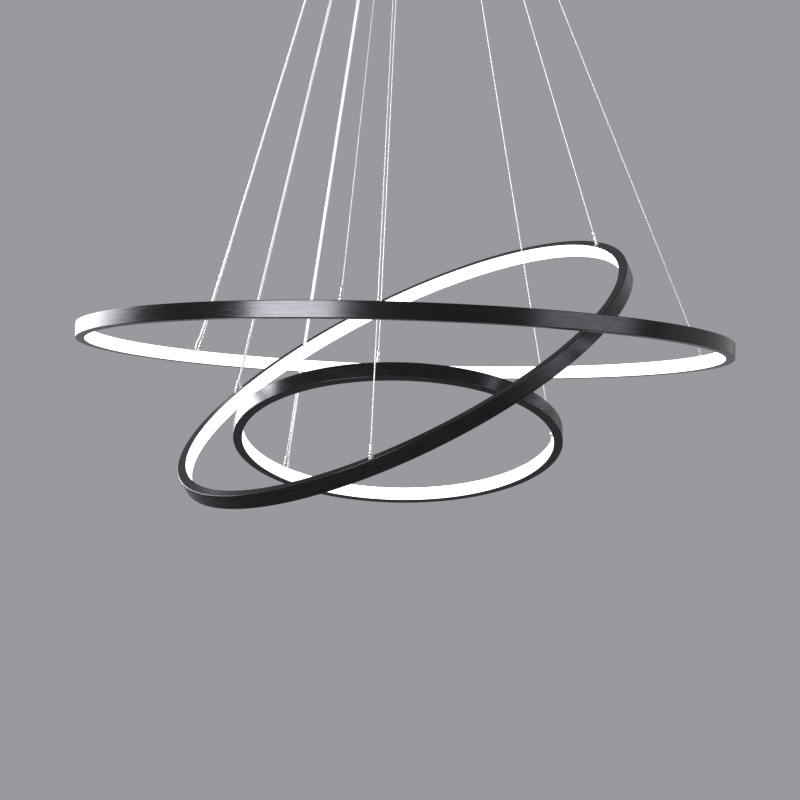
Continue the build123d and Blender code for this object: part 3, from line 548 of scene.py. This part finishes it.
# Drawn stainless steel: bright, with faint differences in polish from strand to strand.
wire_steel, tree, surface = finish_of("drawn_stainless_steel", Metallic=1.0)
where = add(tree, "ShaderNodeTexCoord", {})
polish = add(tree, "ShaderNodeTexNoise", {"Vector": where.outputs["Object"], "Scale": 400.0, "Detail": 2.0})
tone = add(tree, "ShaderNodeMix", {"Factor": polish.outputs["Fac"], "A": "#e8e9ea", "B": "#fbfbfb"},
           data_type="RGBA")
gloss = add(tree, "ShaderNodeMapRange", {"Value": polish.outputs["Fac"], "To Min": 0.58, "To Max": 0.7})
coat(surface, Base_Color=tone, Roughness=gloss)


def strand_circle(shape):
    """The wire's cross-section: six strands, with a groove between each two."""
    rim = bmesh.ops.create_circle(shape, segments=18, radius=WIRE_RADIUS)["verts"]
    for vert in rim[::3]:
        vert.co *= STRAND_GROOVE
    return rim


def stranded(length):
    """A closed straight length of wire rope along +Z from the origin."""
    shape = bmesh.new()
    strand_circle(shape)
    turns = length / STRAND_LAY
    steps = round(LAY_STEPS * turns)
    bmesh.ops.spin(shape, geom=shape.edges[:], cent=(0, 0, 0), axis=(0, 0, 1), dvec=(0, 0, length / steps),
                   angle=math.tau * turns, steps=steps, use_merge=False)
    return capped(shape)


def stranded_bend(line):
    """A closed length of wire rope along evenly spaced points, each with its direction."""
    shape = bmesh.new()
    strand_circle(shape)
    rim = shape.edges[:]
    heading, facing, before = Vector((0, 0, 1)), Quaternion(), Matrix.Identity(4)
    for index, (point, way) in enumerate(line):
        if index:
            rim = drawn_out(shape, rim)
        facing = heading.rotation_difference(way) @ facing
        twist = Matrix.Rotation(math.tau * index / LAY_STEPS, 4, "Z")
        place = Matrix.Translation(point) @ facing.to_matrix().to_4x4() @ twist
        moved = list({vert for edge in rim for vert in edge.verts})
        bmesh.ops.transform(shape, matrix=place @ before.inverted(), verts=moved)
        heading, before = way, place
    return capped(shape)


tails = []
for ring_name, ring in RINGS.items():
    for index, side in enumerate(SIDES):
        knee, top, foot, _ = wire_ends(ring, index)
        along = (foot - top).normalized()
        length = (foot - top).length - WIRE_END_GAP
        shape = stranded(length)
        turn = along.to_track_quat("Z", "Y").to_matrix().to_4x4()
        bmesh.ops.transform(shape, matrix=Matrix.Translation(top) @ turn, verts=shape.verts[:])
        wire = place_piece(f"{ring_name}_{side}_rope", shape, wire_steel, "ceiling", 60)
        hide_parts(f"{ring_name}_{side}_wire")
        follow_ring(wire, ring_name, foot)
        route = [Vector((knee.x, knee.y, TAIL_TOP)), knee + Vector((0, 0, KNEE_REACH)), knee, top]
        line = [vert.co.copy() for vert in swept("tail", route, 0.0, "NURBS").vertices]
        tails.append((stranded_bend(spaced(line, STRAND_LAY / LAY_STEPS)), Matrix.Identity(4)))
tails = place_piece("rope_tails", gathered(tails), wire_steel, "ceiling", 60)
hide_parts("wire_tails")

# --- The power leads ---
# Each ring is fed by a soft PVC lead, 2.6 mm thick, with two tinned copper cores laid round each
# other inside. It leaves the canopy through a gland, runs down beside the left wire and goes
# through a grommet into the ring.
LEAD_RADIUS = 0.0013
GLAND_OFFSET = 0.012
LEAD_GAP = 0.0003
LEAD_JOIN = 0.07
LEAD_PART = 0.008
LEAD_FALL = 0.018
LEAD_RISE = 0.01
LEAD_TOP = -0.0413
CANOPY_BOTTOM = -0.05
CAVITY_HALF = 0.0076
CORE_RADIUS = 0.00038
CORE_OFFSET = 0.00052
CORE_LAY = 0.026  # one turn of the cores
CORE_STEPS = 10
LEFT = 1

# Clear PVC gone milky: light scatters in it, so from a few steps away the lead reads as a white line.
sheath_pvc, tree, surface = finish_of("milky_clear_pvc", IOR=1.53, Transmission_Weight=0.12)
where = add(tree, "ShaderNodeTexCoord", {})
haze = add(tree, "ShaderNodeTexNoise", {"Vector": where.outputs["Object"], "Scale": 120.0, "Detail": 3.0})
tone = add(tree, "ShaderNodeMix", {"Factor": haze.outputs["Fac"], "A": "#f7f9fa", "B": "#ffffff"},
           data_type="RGBA")
gloss = add(tree, "ShaderNodeMapRange", {"Value": haze.outputs["Fac"], "To Min": 0.2, "To Max": 0.32})
coat(surface, Base_Color=tone, Roughness=gloss)

# Tinned copper: pale silver, dulled by its fine strands.
tinned_copper, tree, surface = finish_of("tinned_copper", Metallic=1.0)
where = add(tree, "ShaderNodeTexCoord", {})
fine = add(tree, "ShaderNodeTexNoise", {"Vector": where.outputs["Object"], "Scale": 900.0, "Detail": 2.0})
tone = add(tree, "ShaderNodeMix", {"Factor": fine.outputs["Fac"], "A": "#dcdcda", "B": "#f6f6f4"},
           data_type="RGBA")
gloss = add(tree, "ShaderNodeMapRange", {"Value": fine.outputs["Fac"], "To Min": 0.3, "To Max": 0.5})
coat(surface, Base_Color=tone, Roughness=gloss)


def along_ring(ring, azimuth, way):
    """The azimuth that lies a way clockwise along the ring, in metres, from another."""
    return azimuth - math.degrees(way / (ring["radius"] - PROFILE_DEPTH / 2))


def lead_route(ring):
    """The points a lead follows: connector, gland, down its wire, and into the ring's grommet."""
    _, top, foot, ball = wire_ends(ring, LEFT)
    along = (foot - top).normalized()
    gland = polar(ring["grippers"], SPOKES[LEFT], 0)
    gland += polar(math.copysign(GLAND_OFFSET, ring["lead"]), SPOKES[LEFT] - 90, 0)
    azimuth = along_ring(ring, ring["anchors"][LEFT], ring["lead"])
    grommet, above, inside = [
        ring_place(ring, azimuth, z).translation
        for z in (PROFILE_HEIGHT / 2, PROFILE_HEIGHT / 2 + LEAD_RISE, CAVITY_HALF - 2 * LEAD_RADIUS)
    ]
    sideways = grommet - ball
    sideways = (sideways - along * sideways.dot(along)).normalized()
    beside = sideways * (WIRE_RADIUS + LEAD_RADIUS + LEAD_GAP)
    return [
        gland + Vector((0, 0, LEAD_TOP)),
        gland + Vector((0, 0, CANOPY_BOTTOM - LEAD_FALL)),
        top + along * LEAD_JOIN + beside,
        foot - along * LEAD_PART + beside,
        above,
        inside,
    ]


for ring_name, ring in RINGS.items():
    route = lead_route(ring)
    line = [vert.co.copy() for vert in swept("lead_line", route, 0.0, "NURBS").vertices]
    length = sum((b - a).length for a, b in zip(line, line[1:]))
    sheath = bpy.data.objects.new(f"{ring_name}_lead_sheath", swept("sheath", route, LEAD_RADIUS, "NURBS"))
    sheath.data.shade_smooth()
    sheath.data.materials.append(sheath_pvc)
    bpy.context.scene.collection.objects.link(sheath)
    cores = bmesh.new()
    for half in range(2):
        twisted = []
        for k, (point, way) in enumerate(spaced(line, CORE_LAY / CORE_STEPS)):
            across = Vector((1, 0, 0)) - way * way.x
            across.normalize()
            turn = Matrix.Rotation(math.tau * k / CORE_STEPS + math.pi * half, 3, way)
            twisted.append(point + turn @ across * CORE_OFFSET)
        cores.from_mesh(swept("core", twisted, CORE_RADIUS, "POLY"))
    cores = place_piece(f"{ring_name}_lead_cores", cores, tinned_copper, "ceiling", 60)
    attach(sheath, "ceiling")
    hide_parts(f"{ring_name}_power_lead")
    follow_ring(sheath, ring_name, line[-1])
    follow_ring(cores, ring_name, line[-1])

# --- The ring channels ---
# Extruded aluminium channel, 18 mm high and 11 mm deep, rolled to a ring, brushed along its length
# and anodised black. It is open inwards, and its two ends meet at a seam beside the left wire.
PROFILE_WALL = 0.0016
PROFILE_LIP = 0.0005
EDGE_RADIUS = 0.0008
LIP_RADIUS = 0.00015
SEAM_GAP = 0.0004
SEAM_TO_WIRE = 0.046
DIFFUSER_THICKNESS = 0.0016
DIFFUSER_CLEARANCE = 0.00005
DIFFUSER_EDGE = 0.0002
HALF_HEIGHT = PROFILE_HEIGHT / 2
RING_STEPS = 240
GRAIN_CLOSE = 0.0005  # added to the grain map where its last face meets the first

# Black anodised aluminium: near black and neutral. Brushing lengthwise leaves fine scratches that
# spread each reflection over the profile's height and keep it narrow along the ring. The dye in
# the oxide holds back some of the glare that bare metal has where it is seen edge on. Real scratches
# are about 0.1 mm apart; these are drawn 0.5 mm apart and 60 mm long so that they show.
black_anodised, tree, surface = finish_of("brushed_black_anodised_aluminium", Metallic=1.0, Anisotropic=0.35,
                                          Anisotropic_Rotation=0.25, Specular_Tint=(0.78, 0.78, 0.79, 1.0))
grain_uv = add(tree, "ShaderNodeUVMap", {}, uv_map="grain")
stretched = add(tree, "ShaderNodeMapping", {"Vector": grain_uv.outputs["UV"], "Scale": (17.0, 2000.0, 1.0)})
scratches = add(tree, "ShaderNodeTexNoise", {"Vector": stretched.outputs["Vector"], "Scale": 1.0,
                                             "Detail": 3.0, "Roughness": 0.6})
patches = add(tree, "ShaderNodeMapping", {"Vector": grain_uv.outputs["UV"], "Scale": (60.0, 350.0, 1.0)})
mottle = add(tree, "ShaderNodeTexNoise", {"Vector": patches.outputs["Vector"], "Scale": 1.0, "Detail": 4.0})
both = add(tree, "ShaderNodeMix", {"Factor": 0.35, "A": scratches.outputs["Fac"], "B": mottle.outputs["Fac"]})
tone = add(tree, "ShaderNodeMapRange", {"Value": both.outputs["Result"], "From Min": 0.3, "From Max": 0.7})
shade = add(tree, "ShaderNodeMix", {"Factor": tone.outputs["Result"], "A": "#262528", "B": "#444346"},
           data_type="RGBA")
gloss = add(tree, "ShaderNodeMapRange", {"Value": both.outputs["Result"], "From Min": 0.3, "From Max": 0.7,
                                         "To Min": 0.2, "To Max": 0.28})
relief = add(tree, "ShaderNodeBump", {"Height": scratches.outputs["Fac"], "Strength": 0.5,
                                      "Distance": 0.00002})
grain_way = add(tree, "ShaderNodeTangent", {}, direction_type="UV_MAP", uv_map="grain")
coat(surface, Base_Color=shade, Roughness=gloss, Normal=relief, Tangent=grain_way)


def map_grain(shape, radius):
    """Lays a grain map in metres on a rolled profile: u runs along the ring, v across its faces."""
    across = shape.verts.layers.float["across"]
    run = max(vert[across] for vert in shape.verts) + GRAIN_CLOSE
    grain = shape.loops.layers.uv.new("grain")
    for face in shape.faces:
        middle = face.calc_center_median()
        turn = math.atan2(middle.y, middle.x)
        around = [loop.vert[across] for loop in face.loops]
        wraps = len(around) == 4 and max(around) - min(around) > run / 2
        for loop, v in zip(face.loops, around):
            own = math.atan2(loop.vert.co.y, loop.vert.co.x)
            own = turn + (own - turn + math.pi) % math.tau - math.pi
            loop[grain].uv = (own * radius, v + run if wraps and v < run / 2 else v)


for ring_name, ring in RINGS.items():
    outer = ring["radius"]
    inner = outer - PROFILE_DEPTH
    rebate = inner + DIFFUSER_THICKNESS + DIFFUSER_CLEARANCE
    upper = [
        (outer - PROFILE_WALL, CAVITY_HALF),
        (rebate, CAVITY_HALF),
        (rebate, HALF_HEIGHT - PROFILE_LIP),
        (inner, HALF_HEIGHT - PROFILE_LIP),
        (inner, HALF_HEIGHT),
        (outer, HALF_HEIGHT),
    ]
    lower = [(r, -z) for r, z in reversed(upper)]
    seam = along_ring(ring, ring["anchors"][LEFT], SEAM_TO_WIRE)
    shape = turned(upper + lower, [((5, 6), EDGE_RADIUS, 4), ((4, 7), LIP_RADIUS, 2)], RING_STEPS,
                   math.tau - SEAM_GAP / outer)
    map_grain(shape, outer)
    place = hang(ring) @ Matrix.Rotation(math.radians(seam), 4, "Z")
    bmesh.ops.transform(shape, matrix=place, verts=shape.verts[:])
    channel = place_piece(f"{ring_name}_ring_channel", shape, black_anodised, f"{ring_name}_ring",
                          50)
    channel.modifiers.new("flat_faces", "WEIGHTED_NORMAL").keep_sharp = True
    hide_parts(f"{ring_name}_channel")

# --- The light diffusers ---
# Opal polycarbonate strip pressed into the channel's inner side and lit from behind, so its whole
# face glows an even white.

# Lit opal plastic: white all over, with the chips behind it just told by a faint rise and fall.
opal, tree, surface = finish_of("lit_opal_polycarbonate", Roughness=0.45, Emission_Strength=1.5)
grain_uv = add(tree, "ShaderNodeUVMap", {}, uv_map="grain")
lengths = add(tree, "ShaderNodeMapping", {"Vector": grain_uv.outputs["UV"], "Scale": (30.0, 30.0, 1.0)})
glow = add(tree, "ShaderNodeTexNoise", {"Vector": lengths.outputs["Vector"], "Scale": 1.0, "Detail": 1.0})
light = add(tree, "ShaderNodeMix", {"Factor": glow.outputs["Fac"], "A": "#f6f9ff", "B": "#ffffff"},
           data_type="RGBA")
coat(surface, Base_Color=light, Emission_Color=light)

for ring_name, ring in RINGS.items():
    inner = ring["radius"] - PROFILE_DEPTH
    outer = inner + DIFFUSER_THICKNESS
    edge = HALF_HEIGHT - PROFILE_LIP - DIFFUSER_CLEARANCE
    shape = turned([(outer, -edge), (outer, edge), (inner, edge), (inner, -edge)],
                   [((2, 3), DIFFUSER_EDGE, 2)], RING_STEPS)
    map_grain(shape, inner)
    bmesh.ops.transform(shape, matrix=hang(ring), verts=shape.verts[:])
    strip = place_piece(f"{ring_name}_opal_strip", shape, opal, f"{ring_name}_ring", 50)
    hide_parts(f"{ring_name}_diffuser")

# --- The light tape ---
# A flexible circuit with white solder mask, stuck to the channel's back wall, and the square white
# light chips soldered to it.

# Solder mask: bright white lacquer, a little wavy over the copper under it.
solder_mask, tree, surface = finish_of("white_solder_mask")
where = add(tree, "ShaderNodeTexCoord", {})
copper = add(tree, "ShaderNodeTexNoise", {"Vector": where.outputs["Object"], "Scale": 250.0, "Detail": 1.0})
tone = add(tree, "ShaderNodeMix", {"Factor": copper.outputs["Fac"], "A": "#e9e9e4", "B": "#f4f4f1"},
           data_type="RGBA")
gloss = add(tree, "ShaderNodeMapRange", {"Value": copper.outputs["Fac"], "To Min": 0.22, "To Max": 0.36})
relief = add(tree, "ShaderNodeBump", {"Height": copper.outputs["Fac"], "Strength": 0.3, "Distance": 0.0001})
coat(surface, Base_Color=tone, Roughness=gloss, Normal=relief)

# Phosphor under silicone: yellow in the body, and lit white.
phosphor, tree, surface = finish_of("lit_phosphor", Roughness=0.3, Emission_Strength=3.0)
where = add(tree, "ShaderNodeTexCoord", {})
powder = add(tree, "ShaderNodeTexNoise", {"Vector": where.outputs["Object"], "Scale": 2500.0, "Detail": 2.0})
tone = add(tree, "ShaderNodeMix", {"Factor": powder.outputs["Fac"], "A": "#ecd270", "B": "#f2dd8a"},
           data_type="RGBA")
light = add(tree, "ShaderNodeMix", {"Factor": powder.outputs["Fac"], "A": "#fff8e8", "B": "#ffffff"},
           data_type="RGBA")
coat(surface, Base_Color=tone, Emission_Color=light)
for ring_name in RINGS:
    dress(solder_mask, f"{ring_name}_led_tape")
    dress(phosphor, f"{ring_name}_led_chips")

# --- The splices ---
# A curved steel bar under the top web joins the channel's two ends. Two countersunk socket screws
# of blackened steel hold it, one on each side of the seam.
SPLICE_HEAD_RADIUS = 0.0022
SPLICE_SCREW_RADIUS = 0.00125
SPLICE_SCREW_OFFSET = 0.014
SPLICE_SCREW_PLACE = 0.0048  # inwards from the ring's outer face
SPLICE_SCREW_LENGTH = 0.0032

# Blackened steel: oiled black oxide, brownish where the tool has rubbed it.
black_oxide, tree, surface = finish_of("black_oxide_steel", Metallic=1.0)
where = add(tree, "ShaderNodeTexCoord", {})
rubbed = add(tree, "ShaderNodeTexNoise", {"Vector": where.outputs["Object"], "Scale": 1200.0, "Detail": 3.0})
tone = add(tree, "ShaderNodeMix", {"Factor": rubbed.outputs["Fac"], "A": "#2a2a2c", "B": "#423e3b"},
           data_type="RGBA")
gloss = add(tree, "ShaderNodeMapRange", {"Value": rubbed.outputs["Fac"], "To Min": 0.35, "To Max": 0.55})
coat(surface, Base_Color=tone, Roughness=gloss)

for ring_name, ring in RINGS.items():
    dress(zinc, f"{ring_name}_splice_bar")
    seam = along_ring(ring, ring["anchors"][LEFT], SEAM_TO_WIRE)
    radius = ring["radius"] - SPLICE_SCREW_PLACE
    screws = []
    for side in (-1, 1):
        azimuth = seam + side * math.degrees(SPLICE_SCREW_OFFSET / radius)
        shape = socket_screw(SPLICE_HEAD_RADIUS, 0, SPLICE_SCREW_RADIUS, SPLICE_SCREW_LENGTH, True)
        screws.append((shape, hang(ring) @ Matrix.Translation(polar(radius, azimuth, HALF_HEIGHT))))
    piece = place_piece(f"{ring_name}_countersunk_screws", gathered(screws), black_oxide, f"{ring_name}_ring",
                        30)
    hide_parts(f"{ring_name}_splice_screws")

# --- The wire anchors ---
# Nickel plated brass. A bush is riveted into the ring's top web, with a round seat; the ferrule
# crimped on the wire has a ball that sits in it, so the wire can lean as it likes.
BUSH_FLANGE_RADIUS = 0.0032
BUSH_FLANGE = 0.0008
BUSH_SLEEVE_RADIUS = 0.002
BUSH_NUT_RADIUS = 0.0029
BUSH_NUT = 0.0015
BUSH_BORE_RADIUS = 0.0009
BUSH_NUT_ROUND = 0.0003
BUSH_FLANGE_ROUND = 0.00045
BALL_SEAT_RADIUS = 0.00185
BALL_SEAT_DEPTH = 0.0003
BALL_SEAT_FLOOR = 0.0004
FERRULE_RADIUS = 0.0015
FERRULE_CRIMP_RADIUS = 0.0013
FERRULE_STEM_RADIUS = 0.0007
CRIMP_START, CRIMP_END = 0.28, 0.72  # shares of the barrel's length, from its mouth
WAIST_START, WAIST_END = 0.34, 0.66
CRIMP_ROUND = 0.0003
MOUTH_ROUND = 0.0004
BALL_STEP = 12  # degrees from one corner of the ball to the next


def bush():
    """A riveted bush, whose foot is in the middle of the ring's section."""
    top = HALF_HEIGHT + BUSH_FLANGE
    low = CAVITY_HALF - BUSH_NUT
    seat = [(math.sqrt(BALL_SEAT_RADIUS**2 - (BALL_HEIGHT - z) ** 2), z)
            for z in (top, top - BALL_SEAT_DEPTH / 2, top - BALL_SEAT_DEPTH)]
    return turned([
        (BUSH_BORE_RADIUS, low),
        (BUSH_NUT_RADIUS, low),
        (BUSH_NUT_RADIUS, CAVITY_HALF),
        (BUSH_SLEEVE_RADIUS, CAVITY_HALF),
        (BUSH_SLEEVE_RADIUS, HALF_HEIGHT),
        (BUSH_FLANGE_RADIUS, HALF_HEIGHT),
        (BUSH_FLANGE_RADIUS, top),
        *seat,
        (BUSH_BORE_RADIUS, top - BALL_SEAT_FLOOR),
    ], [((1,), BUSH_NUT_ROUND, 2), ((6,), BUSH_FLANGE_ROUND, 4)], 40)


def ferrule():
    """A crimped barrel from the origin down to its ball, with a long waist pressed into it."""
    low = -FERRULE_LENGTH
    return turned([
        (WIRE_RADIUS, 0),
        (WIRE_RADIUS, low),
        (FERRULE_RADIUS, low),
        (FERRULE_RADIUS, low * CRIMP_END),
        (FERRULE_CRIMP_RADIUS, low * WAIST_END),
        (FERRULE_CRIMP_RADIUS, low * WAIST_START),
        (FERRULE_RADIUS, low * CRIMP_START),
        (FERRULE_RADIUS, 0),
    ], [((3, 4, 5, 6), CRIMP_ROUND, 3), ((7,), MOUTH_ROUND, 3)], 32)


def ball():
    """The ferrule's ball or its stop."""
    radius = FERRULE_BALL_RADIUS
    turns = [math.radians(degrees) for degrees in range(BALL_STEP, 180, BALL_STEP)]
    half_round = [(radius * math.sin(turn), radius * math.cos(turn)) for turn in turns]
    return turned([(0.0, radius), *half_round, (0.0, -radius)], [], 32)


for ring_name, ring in RINGS.items():
    bushes, ferrules = [], []
    for index, azimuth in enumerate(ring["anchors"]):
        _, _, foot, middle = wire_ends(ring, index)
        bushes.append((bush(), ring_place(ring, azimuth)))
        lean = (foot - middle).to_track_quat("Z", "Y").to_matrix().to_4x4()
        ferrules.append((ferrule(), Matrix.Translation(foot) @ lean))
        ferrules.append((ball(), Matrix.Translation(middle)))
        stop = CAVITY_HALF - BUSH_NUT - FERRULE_BALL_RADIUS
        stem = turned([
            (0, stop),
            (FERRULE_STEM_RADIUS, stop),
            (FERRULE_STEM_RADIUS, BALL_HEIGHT),
            (0, BALL_HEIGHT),
        ], [], 24)
        ferrules.append((stem, ring_place(ring, azimuth)))
        ferrules.append((ball(), ring_place(ring, azimuth, stop)))
    piece = place_piece(f"{ring_name}_wire_bushes", gathered(bushes), nickel, f"{ring_name}_ring")
    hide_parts(f"{ring_name}_anchor_bushes")
    piece = place_piece(f"{ring_name}_crimped_ferrules", gathered(ferrules), nickel, f"{ring_name}_ring")
    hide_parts(f"{ring_name}_ferrules")

# --- The lead grommets ---
# Soft clear silicone, pressed into the ring's top web beside the left bush, round the power lead.
GROMMET_FLANGE_RADIUS = 0.003
GROMMET_FLANGE = 0.0009
GROMMET_SLEEVE_RADIUS = 0.0021
GROMMET_BORE_RADIUS = 0.00135
GROMMET_ROUND = 0.0003

# Clear silicone: milky where it is thick, and slightly matt.
silicone, tree, surface = finish_of("clear_silicone", IOR=1.41, Transmission_Weight=0.35)
where = add(tree, "ShaderNodeTexCoord", {})
bloom = add(tree, "ShaderNodeTexNoise", {"Vector": where.outputs["Object"], "Scale": 800.0, "Detail": 2.0})
tone = add(tree, "ShaderNodeMix", {"Factor": bloom.outputs["Fac"], "A": "#eff2f4", "B": "#fbfdff"},
           data_type="RGBA")
gloss = add(tree, "ShaderNodeMapRange", {"Value": bloom.outputs["Fac"], "To Min": 0.25, "To Max": 0.4})
coat(surface, Base_Color=tone, Roughness=gloss)

for ring_name, ring in RINGS.items():
    low = CAVITY_HALF - GROMMET_FLANGE
    shape = turned([
        (GROMMET_BORE_RADIUS, low),
        (GROMMET_FLANGE_RADIUS, low),
        (GROMMET_FLANGE_RADIUS, CAVITY_HALF),
        (GROMMET_SLEEVE_RADIUS, CAVITY_HALF),
        (GROMMET_SLEEVE_RADIUS, HALF_HEIGHT),
        (GROMMET_FLANGE_RADIUS, HALF_HEIGHT),
        (GROMMET_FLANGE_RADIUS * 0.9, HALF_HEIGHT + GROMMET_FLANGE * 0.55),
        (GROMMET_BORE_RADIUS, HALF_HEIGHT + GROMMET_FLANGE),
    ], [((1, 6), GROMMET_ROUND, 3)], 40)
    azimuth = along_ring(ring, ring["anchors"][LEFT], ring["lead"])
    bmesh.ops.transform(shape, matrix=ring_place(ring, azimuth), verts=shape.verts[:])
    grommet = place_piece(f"{ring_name}_silicone_grommet", shape, silicone, f"{ring_name}_ring")
    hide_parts(f"{ring_name}_lead_grommet")

# --- The floor and the backdrop ---
# A plain pale floor and wall, far enough away to stay out of the object's light. Seen by the camera
# and in reflections they have one even tone.
FLOOR_HEIGHT = -1.6
WALL_DISTANCE = 4.1
STAGE_SIZE = 16.0
scene = bpy.context.scene
flat = Matrix.Translation((0, WALL_DISTANCE - STAGE_SIZE / 2, FLOOR_HEIGHT))
wall_place = Matrix.Translation((0, WALL_DISTANCE, FLOOR_HEIGHT + STAGE_SIZE / 2))
upright = wall_place @ Matrix.Rotation(math.pi / 2, 4, "X")
for name, tone_code, matrix in (("floor", "#98979c", flat), ("backdrop", "#9a999e", upright)):
    shape = bmesh.new()
    bmesh.ops.create_grid(shape, x_segments=1, y_segments=1, size=STAGE_SIZE / 2)
    bmesh.ops.transform(shape, matrix=matrix, verts=shape.verts[:])
    mesh = bpy.data.meshes.new(name)
    shape.to_mesh(mesh)
    shape.free()
    paper = bpy.data.materials.new(name + "_paper")
    paper.use_nodes = True
    tree = paper.node_tree
    tree.nodes.clear()
    rays = add(tree, "ShaderNodeLightPath", {})
    seen = add(tree, "ShaderNodeMath", {0: rays.outputs["Is Camera Ray"], 1: rays.outputs["Is Glossy Ray"]},
               operation="MAXIMUM")
    seen = add(tree, "ShaderNodeMath", {0: seen.outputs[0], 1: rays.outputs["Is Transmission Ray"]},
               operation="MAXIMUM")
    even = add(tree, "ShaderNodeEmission", {"Color": tone_code, "Strength": 1.0})
    lit = add(tree, "ShaderNodeBsdfDiffuse", {"Color": "#c9c9cc"})
    front = add(tree, "ShaderNodeMixShader", {0: seen.outputs[0], 1: lit.outputs[0], 2: even.outputs[0]})
    side = add(tree, "ShaderNodeNewGeometry", {})
    clear = add(tree, "ShaderNodeBsdfTransparent", {})
    shown = add(tree, "ShaderNodeMixShader", {0: side.outputs["Backfacing"], 1: front.outputs[0],
                                              2: clear.outputs[0]})
    add(tree, "ShaderNodeOutputMaterial", {"Surface": shown.outputs[0]})
    mesh.materials.append(paper)
    stage = bpy.data.objects.new(name, mesh)
    scene.collection.objects.link(stage)

# --- The studio light ---
# A long soft light behind and to the left, leaning, with a small one above it, a soft key in front and
# to the left, a weak one in front and to the right, a faint one behind on the right, and an even grey
# all round.
world = bpy.data.worlds.new("studio")
scene.world = world
world.use_nodes = True
sky = world.node_tree.nodes["Background"].inputs
sky["Color"].default_value = colour("#98979c")
sky["Strength"].default_value = 1.0
LIGHT_TARGET = Vector((-0.02, -0.02, -0.83))
LIGHT_DISTANCE = 3.2
for name, azimuth, height, roll, width, tall, power in (
    ("back_left", 143.5, 9.0, 20.0, 3.2, 0.95, 98.0),
    ("high_left", 152.5, 16.0, 20.0, 1.35, 0.4, 31.0),
    ("front_left", 235.0, 8.0, 0.0, 1.6, 0.75, 82.0),
    ("right", 329.0, 8.0, 0.0, 1.9, 1.0, 17.0),
    ("back_right", 30.0, 12.0, 0.0, 3.4, 1.4, 5.5),
):
    lamp = bpy.data.lights.new(name, "AREA")
    lamp.shape = "RECTANGLE"
    lamp.size = width
    lamp.size_y = tall
    lamp.energy = power
    holder = bpy.data.objects.new(name, lamp)
    rise = math.radians(height)
    away = polar(LIGHT_DISTANCE * math.cos(rise), azimuth, LIGHT_DISTANCE * math.sin(rise))
    aim = (-away).to_track_quat("-Z", "Y").to_matrix()
    holder.location = LIGHT_TARGET + away
    holder.rotation_euler = (aim @ Matrix.Rotation(math.radians(roll), 3, "Z")).to_euler()
    holder.visible_camera = False
    scene.collection.objects.link(holder)

scene.view_settings.view_transform = "Standard"
